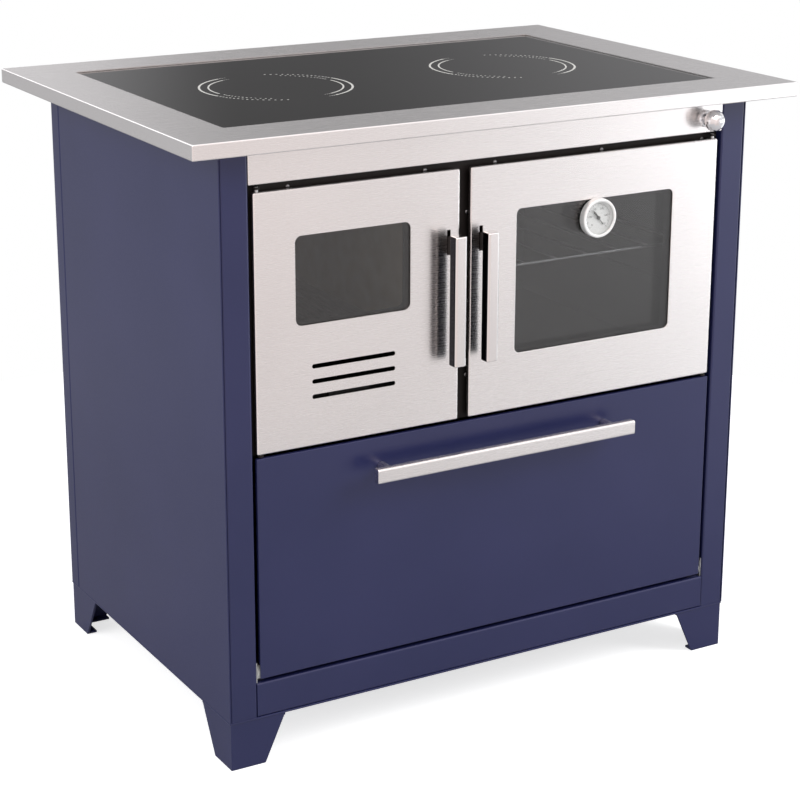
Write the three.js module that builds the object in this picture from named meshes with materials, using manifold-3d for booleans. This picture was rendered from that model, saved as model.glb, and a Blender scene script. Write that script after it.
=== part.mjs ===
// Wood-burning cookstove with a glass hob, a fire door, an oven door and a wood drawer.
//
// Units are millimetres. X runs to the right, Y to the back and Z up. The origin is on the
// floor, under the middle of the worktop, so the front of the body lies at negative Y.
import * as THREE from 'three';
import { mergeVertices } from 'three/addons/utils/BufferGeometryUtils.js';
import Module from 'manifold-3d';

const wasm = await Module();
wasm.setup();

// ---------------------------------------------------------------- body and worktop
const BODY_WIDTH = 810;
const BODY_DEPTH = 555;
const STOVE_HEIGHT = 850;
const FOOT_HEIGHT = 66;
const SIDE_OVERHANG = 54;
const FRONT_OVERHANG = 45.5;
const BACK_OVERHANG = 47.5;
const WORKTOP_EDGE = 20;
const WORKTOP_BEND = 1.6;
const WORKTOP_SEAT = 10;
const SHEET = 1.5;
const SEAM = 0.3;
const SHEET_BEND = 1.2;

// ---------------------------------------------------------------- frame of the body
const POST_FACE = 40;
const POST_RETURN = 40;
const REAR_POST_SIDE = 30.5;
const JOGGLE_LAP = 12;
const PANEL_FLANGE = 15;
const BASE_THICKNESS = 3;
const SWAGE_END = 90;
const SWAGE_SIDE = 60;
const SWAGE_MIDDLE = 30;
const KICKPLATE_HEIGHT = 48;
const KICKPLATE_RETURN = 12;
const FASCIA_HEIGHT = 47;
const FASCIA_RETURN = 11;

// ---------------------------------------------------------------- feet
const FOOT_INSET = 1.4;
const FOOT_SHEET = 3;
const FOOT_FRONT_TOP = 80;
const FOOT_FRONT_BOTTOM = 50;
const FOOT_SIDE_TOP = 88;
const FOOT_SIDE_BOTTOM = 51;
const FOOT_FLANGE = 15;

// ---------------------------------------------------------------- hob
const RIM_FRONT = 82;
const RIM_SIDE = 79.5;
const RIM_BACK = 81;
const HOB_CLEARANCE = 1;
const HOB_RECESS = 1.8;
const HOB_GLASS = 5;
const HOB_CORNER = 3;
const HOB_BEARING = 20;
const HOB_RING_SHEET = 3;

// ---------------------------------------------------------------- doors and drawer
const DOOR_HEIGHT = 340.5;
const FIRE_DOOR_WIDTH = 298;
const DOOR_SIDE_GAP = 6.5;
const DOOR_MIDDLE_GAP = 16.5;
const DOOR_TOP_GAP = 10;
const DOOR_DRAWER_GAP = 5;
const DRAWER_KICK_GAP = 5.5;
const DRAWER_SIDE_GAP = 5.5;
const SKIN_RETURN = 5.5;
const SKIN_BEND = 2;
const LINER_INSET = 9.5;
const LINER_BACK = 10;
const GASKET = 8;
const GASKET_INSET = 17;
const GASKET_LATCH_INSET = 31;
const GASKET_GROOVE_PLAY = 0.3;
const GASKET_LAND = 9.5;
const DOOR_GLASS = 4;
const DOOR_GLASS_LAP = 10;
const PLUG_PLAY = 4;

// fire door: window and air slots, from the door's left edge and top
const FIRE_WINDOW_LEFT = 57;
const FIRE_WINDOW_TOP = 61;
const FIRE_WINDOW_WIDTH = 167;
const FIRE_WINDOW_HEIGHT = 117;
const FIRE_WINDOW_CORNER = 9;
const AIR_SLOT_COUNT = 3;
const AIR_SLOT_LEFT = 79.5;
const AIR_SLOT_LENGTH = 122;
const AIR_SLOT_WIDTH = 6;
const AIR_SLOT_PITCH = 20.3;
const AIR_SLOT_TOP = 234;
const AIR_SLOT_MARGIN = 5;

// oven door: window, inner pane and thermometer, from the door's left edge and top
const OVEN_WINDOW_LEFT = 72;
const OVEN_WINDOW_TOP = 63;
const OVEN_WINDOW_WIDTH = 256;
const OVEN_WINDOW_HEIGHT = 199;
const OVEN_WINDOW_CORNER = 8;
const OVEN_PLUG_DEPTH = 14;
const FIRE_PLUG_DEPTH = 12;
const INNER_PANE = 3;
const THERMOMETER_DROP = 25.5;
const THERMOMETER_RADIUS = 27;
const THERMOMETER_DEPTH = 10;
const THERMOMETER_NECK = 20;
const THERMOMETER_FLOOR = 2.4;
const BEZEL_WALL = 2.6;
const BEZEL_LIP = 4.4;
const LENS_THICKNESS = 1.2;
const DIAL_THICKNESS = 0.8;
const PROBE_RADIUS = 3;
const PROBE_LENGTH = 62;
const PANE_HOLE_RADIUS = 4.5;
const PANE_HOLE_REACH = 60;
const NEEDLE_LENGTH = 13.5;
const NEEDLE_TAIL = 12.5;
const NEEDLE_ANGLE = 129;
const NEEDLE_THICKNESS = 0.6;

// ---------------------------------------------------------------- hinges
const HINGE_ROD_RADIUS = 2.5;
const HINGE_SIDE = 6.5;
const HINGE_DEPTH = 4.5;
const HINGE_PLAY = 0.3;
const HINGE_LUG = 26;
const HINGE_EAR = 2.6;
const TOP_EAR_GAP = 3.5;

// ---------------------------------------------------------------- lift latches and handles
const LATCH_INSET = 16.5;
const LATCH_DROP = 99.5;
const LATCH_PLATE = 4;
const LATCH_PLAY = 0.6;
const LATCH_BRACKET = 23;
const LATCH_PIN_RADIUS = 2.2;
const LATCH_PIN_HALF = 8;
const LATCH_DEPTH = 6;
const LATCH_TAIL = 28;
const LATCH_TAIL_HEIGHT = 12;
const LATCH_TOOTH = 6;
const LATCH_TOOTH_LENGTH = 9;
const LATCH_SLOT_RISE = 9;
const KEEPER_HALF_WIDTH = 5;
const KEEPER_DROP = 22;
const KEEPER_RISE = 16;
const BAR_WIDTH = 18;
const BAR_DEPTH = 17;
const BAR_LENGTH = 175;
const BAR_STANDOFF = 16;
const BAR_CORNER = 3.5;
const BAR_END_BEVEL = 1.5;
const BAR_TOP_ABOVE_LATCH = 17.5;

// ---------------------------------------------------------------- stove inside
const FRAME_SETBACK = 12;
const FRAME_SHEET = 3;
const FRAME_DRAWER_GAP = 1.3;
const GRATE_BAR_TOP = 142.5;
const GRATE_BAR_BOTTOM = 112.5;
const CASING_SHEET = 3;
const CASING_SIDE_GAP = 13;
const CASING_BACK_GAP = 41.5;
const CASING_FLOOR_RISE = 11.7;
const PARTITION_GAP = 11.3;
const PARTITION_TOP_DROP = 70;
const BRICK_FRONT_GAP = 4;
const BRICK_LEFT = 25;
const BRICK_RIGHT = 29;
const BRICK_REAR = 30;
const BRICK_HEIGHT = 205;
const BRICK_LENGTH = 390;
const GRATE_SHELF = 3;
const GRATE_LENGTH = 260;
const GRATE_SETBACK = 60;
const GRATE_WIDTH = 178;
const GRATE_THICKNESS = 14;
const GRATE_LEDGE = 8;
const GRATE_SLOTS = 9;
const GRATE_SLOT_WIDTH = 9;
const GRATE_MARGIN = 16;
const ASH_PAN_LENGTH = 370;
const ASH_PAN_HEIGHT = 48;
const ASH_PAN_PLAY = 5;
const ASH_RAIL_WIDTH = 6;
const ASH_PAN_SETBACK = 12;
const ASH_GRIP_WIDTH = 60;
const ASH_GRIP_REACH = 11;
const ASH_GRIP_DROP = 12;
const ASH_GRIP_DEPTH = 14;
const OVEN_SHEET = 2;
const OVEN_DEPTH = 430;
const OVEN_RAIL_COUNT = 3;
const OVEN_RAIL_PITCH = 62;
const OVEN_RAIL_FIRST = 100.5;
const OVEN_RAIL_WIDTH = 9;
const OVEN_RAIL_THICKNESS = 3;
const RACK_RAIL = 1;
const RACK_ROD = 2;
const RACK_WIRE = 1.5;
const RACK_PLAY = 3;
const RACK_PITCH = 51;
const RACK_FRONT_GAP = 20;
const RACK_DEPTH = 380;
const SHIELD_SHEET = 1.5;
const SHIELD_RISE = 4.2;
const SHIELD_LIP = 20;

// ---------------------------------------------------------------- flue and damper
const FLUE_RADIUS = 64;
const FLUE_WALL = 2.5;
const FLUE_FLANGE = 14;
const FLUE_X = 235;
const FLUE_DROP = 140;
const FLUE_END_GAP = 3;
const FLUE_FLANGE_SHEET = 3;
const BACK_HOLE_PLAY = 8;
const DAMPER_INSET = 29.5;
const DAMPER_DROP = 27;
const DAMPER_ROD = 4;
const DAMPER_BORE_PLAY = 0.5;
const DAMPER_TRAVEL = 70;
const DAMPER_SEAT_DROP = 55;
const DAMPER_SEAT_DEPTH = 140;
const DAMPER_PLATE_WIDTH = 190;
const DAMPER_PLATE_DEPTH = 56;
const DAMPER_PLATE = 2;
const DAMPER_HOLE_MARGIN = 6;
const KNOB_RADIUS = 15;
const KNOB_NECK = 6;
const KNOB_STANDOFF = 20;
const ROSETTE_RADIUS = 12;
const ROSETTE_DEPTH = 4;

// ---------------------------------------------------------------- wood drawer
const DRAWER_BOX_INSET = 20;
const DRAWER_BOX_DEPTH = 467;
const DRAWER_BOX_RISE = 2;
const DRAWER_BOX_DROP = 33;
const DRAWER_NOTCH = 21;
const ROLLER_RADIUS = 11;
const ROLLER_WIDTH = 7.5;
const ROLLER_RISE = 7.1;
const ROLLER_FRONT_SETBACK = 14;
const ROLLER_REAR_SETBACK = 16;
const AXLE_RADIUS = 3;
const RUNNER_FLANGE = 16;
const RUNNER_WEB_ABOVE = 16;
const RUNNER_REAR_GAP = 14;
const PULL_LENGTH = 409;
const PULL_HEIGHT = 20;
const PULL_DEPTH = 12;
const PULL_STANDOFF = 28;
const PULL_CORNER = 3;
const PULL_DROP = 39.5;
const PULL_STEM_RADIUS = 6;
const PULL_STEM_INSET = 26.5;

// ---------------------------------------------------------------- places worked out from these
const HALF_WIDTH = BODY_WIDTH / 2;
const FRONT = -(BODY_DEPTH + FRONT_OVERHANG + BACK_OVERHANG) / 2 + FRONT_OVERHANG;
const BACK = FRONT + BODY_DEPTH;
const BODY_TOP = STOVE_HEIGHT - WORKTOP_EDGE;
const INNER = HALF_WIDTH - POST_FACE;
const STAND = FOOT_HEIGHT + BASE_THICKNESS + SEAM;
const KICK_TOP = FOOT_HEIGHT + BASE_THICKNESS + KICKPLATE_HEIGHT;
const DOOR_TOP = BODY_TOP - FASCIA_HEIGHT - DOOR_TOP_GAP;
const DOOR_BOTTOM = DOOR_TOP - DOOR_HEIGHT;
const DRAWER_TOP = DOOR_BOTTOM - DOOR_DRAWER_GAP;
const DRAWER_BOTTOM = KICK_TOP + DRAWER_KICK_GAP;
const DRAWER_HALF = INNER - DRAWER_SIDE_GAP;
const FRAME_FRONT = FRONT + FRAME_SETBACK;
const FRAME_BACK = FRAME_FRONT + FRAME_SHEET;
const FRAME_BOTTOM = DRAWER_TOP + FRAME_DRAWER_GAP;
const GLASS_TOP = STOVE_HEIGHT - HOB_RECESS;
const HOB_RING_TOP = GLASS_TOP - HOB_GLASS - SEAM;
const CASING_TOP = HOB_RING_TOP - HOB_RING_SHEET - SEAM;
const CASING_HALF = INNER - CASING_SIDE_GAP;
const CASING_BACK = BACK - CASING_BACK_GAP;
const CASING_FLOOR = FRAME_BOTTOM + CASING_FLOOR_RISE;
const INSIDE_FRONT = FRAME_BACK + SEAM;

const FIRE_DOOR = {
  left: -INNER + DOOR_SIDE_GAP,
  right: -INNER + DOOR_SIDE_GAP + FIRE_DOOR_WIDTH,
  hingeSide: -1,
};
const OVEN_DOOR = {
  left: FIRE_DOOR.right + DOOR_MIDDLE_GAP,
  right: INNER - DOOR_SIDE_GAP,
  hingeSide: 1,
};
for (const door of [FIRE_DOOR, OVEN_DOOR]) {
  const hingeEdge = door.hingeSide < 0 ? door.left : door.right;
  const freeEdge = door.hingeSide < 0 ? door.right : door.left;
  door.axisX = hingeEdge - door.hingeSide * HINGE_SIDE;
  door.latchX = freeEdge + door.hingeSide * LATCH_INSET;
  const gasketHinge = hingeEdge - door.hingeSide * GASKET_INSET;
  const gasketLatch = freeEdge + door.hingeSide * GASKET_LATCH_INSET;
  door.gasket = {
    x0: Math.min(gasketHinge, gasketLatch),
    x1: Math.max(gasketHinge, gasketLatch),
    z0: DOOR_BOTTOM + GASKET_INSET,
    z1: DOOR_TOP - GASKET_INSET,
  };
}
const HINGE_Y = FRONT + HINGE_DEPTH;
const LATCH_Z = DOOR_TOP - LATCH_DROP;
const FIRE_WINDOW = {
  x0: FIRE_DOOR.left + FIRE_WINDOW_LEFT,
  x1: FIRE_DOOR.left + FIRE_WINDOW_LEFT + FIRE_WINDOW_WIDTH,
  z0: DOOR_TOP - FIRE_WINDOW_TOP - FIRE_WINDOW_HEIGHT,
  z1: DOOR_TOP - FIRE_WINDOW_TOP,
};
const OVEN_WINDOW = {
  x0: OVEN_DOOR.left + OVEN_WINDOW_LEFT,
  x1: OVEN_DOOR.left + OVEN_WINDOW_LEFT + OVEN_WINDOW_WIDTH,
  z0: DOOR_TOP - OVEN_WINDOW_TOP - OVEN_WINDOW_HEIGHT,
  z1: DOOR_TOP - OVEN_WINDOW_TOP,
};
const AIR_SLOTS = Array.from({ length: AIR_SLOT_COUNT }, (_, i) => ({
  x0: FIRE_DOOR.left + AIR_SLOT_LEFT,
  x1: FIRE_DOOR.left + AIR_SLOT_LEFT + AIR_SLOT_LENGTH,
  z: DOOR_TOP - AIR_SLOT_TOP - i * AIR_SLOT_PITCH,
}));

const grow = (r, d) => ({ x0: r.x0 - d, x1: r.x1 + d, z0: r.z0 - d, z1: r.z1 + d });
const FIRE_OPENING = { ...grow(FIRE_DOOR.gasket, -GASKET_LAND), z0: DOOR_BOTTOM + GRATE_BAR_TOP };
const ASH_OPENING = { ...grow(FIRE_DOOR.gasket, -GASKET_LAND), z1: DOOR_BOTTOM + GRATE_BAR_BOTTOM };
const OVEN_OPENING = grow(OVEN_DOOR.gasket, -GASKET_LAND);
const GRATE_Z = ASH_OPENING.z1 + GRATE_SHELF;
const PARTITION_X = FIRE_OPENING.x1 + PARTITION_GAP;
const DAMPER_X = INNER - DAMPER_INSET;
const DAMPER_Z = BODY_TOP - DAMPER_DROP;
const DAMPER_SEAT_Z = BODY_TOP - DAMPER_SEAT_DROP;
const FLUE_Z = BODY_TOP - FLUE_DROP;
const OVEN_BACK = INSIDE_FRONT + OVEN_DEPTH;
const RAIL_Z = Array.from({ length: OVEN_RAIL_COUNT },
  (_, i) => OVEN_OPENING.z0 + OVEN_RAIL_FIRST + i * OVEN_RAIL_PITCH);
const THERMOMETER_X = (OVEN_WINDOW.x0 + OVEN_WINDOW.x1) / 2;
const THERMOMETER_Z = OVEN_WINDOW.z1 - THERMOMETER_DROP;
const ROLLER_Z = DRAWER_BOTTOM + ROLLER_RISE;
const RUNNER_OUT = INNER - SEAM;
const ROLLER_OUT = RUNNER_OUT - SHEET - 0.5;
const ROLLER_IN = ROLLER_OUT - ROLLER_WIDTH;
const DRAWER_BOX_HALF = INNER - DRAWER_BOX_INSET;
const DRAWER_BOX_FRONT = FRONT + SHEET + SEAM;
const DRAWER_BOX_BACK = DRAWER_BOX_FRONT + DRAWER_BOX_DEPTH;

// ---------------------------------------------------------------- solids from three.js shapes
// Joins the vertices of a closed three.js geometry and turns its faces outwards.
function solid(geometry) {
  const bare = geometry.index ? geometry.toNonIndexed() : geometry.clone();
  bare.deleteAttribute('normal');
  bare.deleteAttribute('uv');
  const merged = mergeVertices(bare, 1e-4);
  const vertProperties = Float32Array.from(merged.attributes.position.array);
  const corners = Array.from(merged.index.array);
  const faces = [];
  for (let i = 0; i < corners.length; i += 3) {
    const [a, b, c] = corners.slice(i, i + 3);
    if (a !== b && b !== c && c !== a) faces.push([a, b, c]);
  }
  const at = (v) => new THREE.Vector3().fromArray(vertProperties, v * 3);
  const volume = faces.reduce((sum, [a, b, c]) => sum + at(a).dot(at(b).cross(at(c))), 0);
  const outward = volume < 0 ? faces.map(([a, b, c]) => [a, c, b]) : faces;
  const triVerts = Uint32Array.from(outward.flat());
  return new wasm.Manifold(new wasm.Mesh({ numProp: 3, vertProperties, triVerts }));
}

const join = (first, ...rest) => rest.reduce((a, b) => a.add(b), first);
const cut = (first, ...rest) => rest.reduce((a, b) => a.subtract(b), first);

function shapeOf(outline) {
  if (outline instanceof THREE.Shape) return outline;
  return new THREE.Shape(outline.map(([u, v]) => new THREE.Vector2(u, v)));
}

// Rectangle with round corners, for windows, panes and bars.
function roundedRect(u0, u1, v0, v1, radius) {
  const shape = new THREE.Shape();
  if (radius <= 0) return shapeOf([[u0, v0], [u1, v0], [u1, v1], [u0, v1]]);
  shape.moveTo(u0 + radius, v0);
  shape.lineTo(u1 - radius, v0);
  shape.absarc(u1 - radius, v0 + radius, radius, -Math.PI / 2, 0, false);
  shape.lineTo(u1, v1 - radius);
  shape.absarc(u1 - radius, v1 - radius, radius, 0, Math.PI / 2, false);
  shape.lineTo(u0 + radius, v1);
  shape.absarc(u0 + radius, v1 - radius, radius, Math.PI / 2, Math.PI, false);
  shape.lineTo(u0, v0 + radius);
  shape.absarc(u0 + radius, v0 + radius, radius, Math.PI, 1.5 * Math.PI, false);
  return shape;
}

function circle(u, v, radius) {
  return new THREE.Shape().absarc(u, v, radius, 0, 2 * Math.PI, false);
}

// Prisms: the outline is (x, y), (x, z) or (y, z), and the length runs along the third axis.
function prismZ(outline, z0, z1, curveSegments = 4) {
  const options = { depth: z1 - z0, bevelEnabled: false, curveSegments };
  return solid(new THREE.ExtrudeGeometry(shapeOf(outline), options).translate(0, 0, z0));
}

function prismY(outline, y0, y1, curveSegments = 4) {
  const options = { depth: y1 - y0, bevelEnabled: false, curveSegments };
  const geometry = new THREE.ExtrudeGeometry(shapeOf(outline), options);
  return solid(geometry.rotateX(Math.PI / 2).translate(0, y1, 0));
}

const YZ_TO_WORLD = new THREE.Matrix4().makeBasis(
  new THREE.Vector3(0, 1, 0), new THREE.Vector3(0, 0, 1), new THREE.Vector3(1, 0, 0));

function prismX(outline, x0, x1, curveSegments = 4) {
  const options = { depth: x1 - x0, bevelEnabled: false, curveSegments };
  const geometry = new THREE.ExtrudeGeometry(shapeOf(outline), options);
  return solid(geometry.applyMatrix4(YZ_TO_WORLD).translate(x0, 0, 0));
}

function box(x0, x1, y0, y1, z0, z1) {
  const geometry = new THREE.BoxGeometry(Math.abs(x1 - x0), y1 - y0, z1 - z0);
  return solid(geometry.translate((x0 + x1) / 2, (y0 + y1) / 2, (z0 + z1) / 2));
}

// Outline lying in the front plane with its front edges rounded; it runs back from y0 to y1.
function softFront(outline, y0, y1, radius, segments = 3) {
  const options = {
    depth: y1 - y0, bevelEnabled: true, bevelThickness: radius,
    bevelSize: radius, bevelOffset: -radius, bevelSegments: segments, curveSegments: 3,
  };
  const geometry = new THREE.ExtrudeGeometry(shapeOf(outline), options);
  const whole = solid(geometry.rotateX(Math.PI / 2).translate(0, y1 + radius, 0));
  const b = whole.boundingBox();
  return cut(whole, box(b.min[0] - 1, b.max[0] + 1, y1, b.max[1] + 1, b.min[2] - 1, b.max[2] + 1));
}

// Turned pieces: the profile is (radius, distance along the axis).
function turned(profile, axis, segments = 24) {
  const geometry = new THREE.LatheGeometry(profile.map(([r, h]) => new THREE.Vector2(r, h)), segments);
  if (axis === 'x') geometry.rotateZ(-Math.PI / 2);
  if (axis === 'z') geometry.rotateX(Math.PI / 2);
  return geometry;
}

function rodX(x0, x1, y, z, radius, segments = 16) {
  const profile = [[0, x0], [radius, x0], [radius, x1], [0, x1]];
  return solid(turned(profile, 'x', segments).translate(0, y, z));
}

function rodY(y0, y1, x, z, radius, segments = 16) {
  const profile = [[0, y0], [radius, y0], [radius, y1], [0, y1]];
  return solid(turned(profile, 'y', segments).translate(x, 0, z));
}

function rodZ(z0, z1, x, y, radius, segments = 16) {
  const profile = [[0, z0], [radius, z0], [radius, z1], [0, z1]];
  return solid(turned(profile, 'z', segments).translate(x, y, 0));
}

// Section of a folded sheet: the path is one face of the sheet, the other lies to its left,
// and every bend gets a round inside and outside.
function foldedSheet(path, thickness, bend) {
  const points = path.map(([u, v]) => new THREE.Vector2(u, v));
  const directions = points.slice(1).map((p, i) => p.clone().sub(points[i]).normalize());
  const left = (d) => new THREE.Vector2(-d.y, d.x);
  const last = points.length - 1;
  const far = points.map((p, i) => {
    if (i === 0) return p.clone().addScaledVector(left(directions[0]), thickness);
    if (i === last) return p.clone().addScaledVector(left(directions[last - 1]), thickness);
    const n0 = left(directions[i - 1]);
    const n1 = left(directions[i]);
    return p.clone().addScaledVector(n0.clone().add(n1), thickness / (1 + n0.dot(n1)));
  });
  const turn = (i) => directions[i - 1].cross(directions[i]);
  const near = roundCorners(points, (i) => (turn(i) > 0 ? bend + thickness : bend));
  const other = roundCorners(far, (i) => (turn(i) > 0 ? bend : bend + thickness));
  return new THREE.Shape([...near, ...other.reverse()]);
}

// Replaces the inner corners of an open line by short arcs of the given radius.
function roundCorners(points, radiusAt, steps = 3) {
  const out = [points[0]];
  for (let i = 1; i < points.length - 1; i += 1) {
    const toBefore = points[i - 1].clone().sub(points[i]).normalize();
    const toAfter = points[i + 1].clone().sub(points[i]).normalize();
    const half = Math.acos(THREE.MathUtils.clamp(toBefore.dot(toAfter), -1, 1)) / 2;
    const radius = radiusAt(i);
    const bisector = toBefore.clone().add(toAfter).normalize();
    const centre = points[i].clone().addScaledVector(bisector, radius / Math.sin(half));
    const start = points[i].clone().addScaledVector(toBefore, radius / Math.tan(half));
    const end = points[i].clone().addScaledVector(toAfter, radius / Math.tan(half));
    const a0 = start.clone().sub(centre).angle();
    let sweep = end.clone().sub(centre).angle() - a0;
    if (sweep > Math.PI) sweep -= 2 * Math.PI;
    if (sweep < -Math.PI) sweep += 2 * Math.PI;
    for (let k = 0; k <= steps; k += 1) {
      const a = a0 + (sweep * k) / steps;
      out.push(new THREE.Vector2(centre.x + radius * Math.cos(a), centre.y + radius * Math.sin(a)));
    }
  }
  out.push(points[points.length - 1]);
  return out;
}

// Front skin folded back on all four sides, open at the back.
function pan(rect, y0, depth, sheet, bend) {
  const outline = roundedRect(rect.x0, rect.x1, rect.z0, rect.z1, bend + 0.3);
  const outside = softFront(outline, y0, y0 + depth, bend);
  const inside = grow(rect, -sheet);
  return cut(outside, box(inside.x0, inside.x1, y0 + sheet, y0 + depth + 1, inside.z0, inside.z1));
}

// Ring between two rectangles, lying in the front plane.
function ringY(outer, inner, y0, y1, outerCorner, innerCorner) {
  const body = prismY(roundedRect(outer.x0, outer.x1, outer.z0, outer.z1, outerCorner), y0, y1);
  const hole = roundedRect(inner.x0, inner.x1, inner.z0, inner.z1, innerCorner);
  return cut(body, prismY(hole, y0 - 1, y1 + 1));
}

// ---------------------------------------------------------------- materials
const finish = (color, roughness, metalness) =>
  new THREE.MeshStandardMaterial({ color, roughness, metalness });
const NAVY = () => finish(0x24265a, 0.42, 0.0);
const STAINLESS = () => finish(0xcfc9c4, 0.32, 1.0);
const CHROME = () => finish(0xe4e4e6, 0.08, 1.0);
const BLACK_STEEL = () => finish(0x151516, 0.55, 0.2);
const CAST_IRON = () => finish(0x2a2a2b, 0.75, 0.6);
const ENAMEL = () => finish(0x2d2f33, 0.3, 0.0);
const BRICK = () => finish(0xcdb894, 0.95, 0.0);
const GLASS = () => finish(0x4a4a4c, 0.05, 0.0);
const ROPE = () => finish(0x3a3a3a, 1.0, 0.0);
const NYLON = () => finish(0xe9e9e4, 0.5, 0.0);
const ZINC = () => finish(0xb8bcc0, 0.4, 1.0);
const WHITE = () => finish(0xf2f2ee, 0.5, 0.0);

// ---------------------------------------------------------------- cabinet
function foot(side, end) {
  const outX = side * (HALF_WIDTH - FOOT_INSET);
  const outY = end < 0 ? FRONT + FOOT_INSET : BACK - FOOT_INSET;
  const top = FOOT_HEIGHT - SEAM;
  const inX = (d) => outX - side * d;
  const inY = (d) => outY - end * d;
  const face = prismY([[outX, 0], [inX(FOOT_FRONT_BOTTOM), 0], [inX(FOOT_FRONT_TOP), top], [outX, top]],
    Math.min(outY, inY(FOOT_SHEET)), Math.max(outY, inY(FOOT_SHEET)));
  const flank = prismX([[outY, 0], [inY(FOOT_SIDE_BOTTOM), 0], [inY(FOOT_SIDE_TOP), top], [outY, top]],
    Math.min(outX, inX(FOOT_SHEET)), Math.max(outX, inX(FOOT_SHEET)));
  const flange = (along, across, z) => prismZ([
    [outX, outY], [inX(along), outY], [inX(along), inY(FOOT_FLANGE)],
    [inX(FOOT_FLANGE), inY(FOOT_FLANGE)], [inX(FOOT_FLANGE), inY(across)], [outX, inY(across)],
  ], z, z + FOOT_SHEET);
  const sole = flange(FOOT_FRONT_BOTTOM, FOOT_SIDE_BOTTOM, 0);
  const seat = flange(FOOT_FRONT_TOP, FOOT_SIDE_TOP, top - FOOT_SHEET);
  return join(face, flank, sole, seat);
}

function baseTray() {
  const edge = 1;
  const options = {
    depth: BASE_THICKNESS - 2 * edge, bevelEnabled: true, bevelThickness: edge,
    bevelSize: edge, bevelOffset: -edge, bevelSegments: 2, curveSegments: 2,
  };
  const outline = roundedRect(-HALF_WIDTH, HALF_WIDTH, FRONT, BACK, edge + 0.4);
  const plate = solid(new THREE.ExtrudeGeometry(outline, options).translate(0, 0, FOOT_HEIGHT + edge));
  const swage = (x0, x1) => box(x0, x1, FRONT + SWAGE_END, BACK - SWAGE_END,
    FOOT_HEIGHT + BASE_THICKNESS - SEAM, FOOT_HEIGHT + 2 * BASE_THICKNESS);
  return join(plate, swage(-INNER + SWAGE_SIDE, -SWAGE_MIDDLE), swage(SWAGE_MIDDLE, INNER - SWAGE_SIDE));
}

function kickplate() {
  const back = FRONT + KICKPLATE_RETURN;
  const path = [[back, STAND], [FRONT, STAND], [FRONT, KICK_TOP], [back, KICK_TOP]];
  return prismX(foldedSheet(path.reverse(), SHEET, SHEET_BEND), -INNER + SEAM, INNER - SEAM);
}

// The front post laps behind the side panel and returns beside the doors.
function frontPost(side) {
  const outer = HALF_WIDTH - SHEET - SEAM;
  const path = [
    [outer, FRONT + POST_RETURN], [outer, FRONT], [INNER, FRONT], [INNER, FRONT + POST_RETURN],
  ].map(([x, y]) => [side * x, y]);
  const section = foldedSheet(side > 0 ? path.reverse() : path, SHEET, SHEET_BEND);
  return prismZ(section, STAND, BODY_TOP - SEAM);
}

// The rear post shows as a strip on the side and steps inwards to lap behind the side panel.
function rearPost(side) {
  const stripFront = BACK - REAR_POST_SIDE;
  const lapX = HALF_WIDTH - SHEET - SEAM;
  const path = [
    [lapX, stripFront - JOGGLE_LAP], [lapX, stripFront + 1], [HALF_WIDTH, stripFront + 4],
    [HALF_WIDTH, BACK], [INNER, BACK], [INNER, BACK - REAR_POST_SIDE],
  ].map(([x, y]) => [side * x, y]);
  const section = foldedSheet(side > 0 ? path : path.reverse(), SHEET, 0.8);
  return prismZ(section, STAND, BODY_TOP - SEAM);
}

function sidePanel(side) {
  const out = side * HALF_WIDTH;
  const inward = (d) => side * (HALF_WIDTH - d);
  const top = BODY_TOP - SEAM;
  const rear = BACK - REAR_POST_SIDE - SEAM;
  const sheet = box(out, inward(SHEET), FRONT, rear, STAND, top);
  const flangeFront = FRONT + POST_RETURN + 5;
  const flangeRear = rear - JOGGLE_LAP - 8;
  const flange = (z) => box(inward(0.2), inward(PANEL_FLANGE), flangeFront, flangeRear, z, z + SHEET);
  return join(sheet, flange(STAND), flange(top - SHEET));
}

function backPanel() {
  const half = INNER - SHEET - 2 * SEAM;
  const rect = { x0: -half, x1: half, z0: STAND, z1: BODY_TOP - SEAM };
  const sheet = prismY(roundedRect(rect.x0, rect.x1, rect.z0, rect.z1, 0), BACK - SHEET, BACK);
  const back = BACK - 12;
  const lip = (z) => box(-half, half, back, BACK - 0.5, z, z + SHEET);
  const hole = rodY(BACK - 5, BACK + 5, FLUE_X, FLUE_Z, FLUE_RADIUS + BACK_HOLE_PLAY, 32);
  return cut(join(sheet, lip(STAND), lip(BODY_TOP - SEAM - SHEET)), hole);
}

function fascia() {
  const rect = { x0: -INNER + SEAM, x1: INNER - SEAM, z0: BODY_TOP - FASCIA_HEIGHT, z1: BODY_TOP - SEAM };
  const bore = rodY(FRONT - 1, FRONT + FASCIA_RETURN, DAMPER_X, DAMPER_Z, DAMPER_ROD + DAMPER_BORE_PLAY);
  return cut(pan(rect, FRONT, FASCIA_RETURN, SHEET, SHEET_BEND), bore);
}

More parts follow.
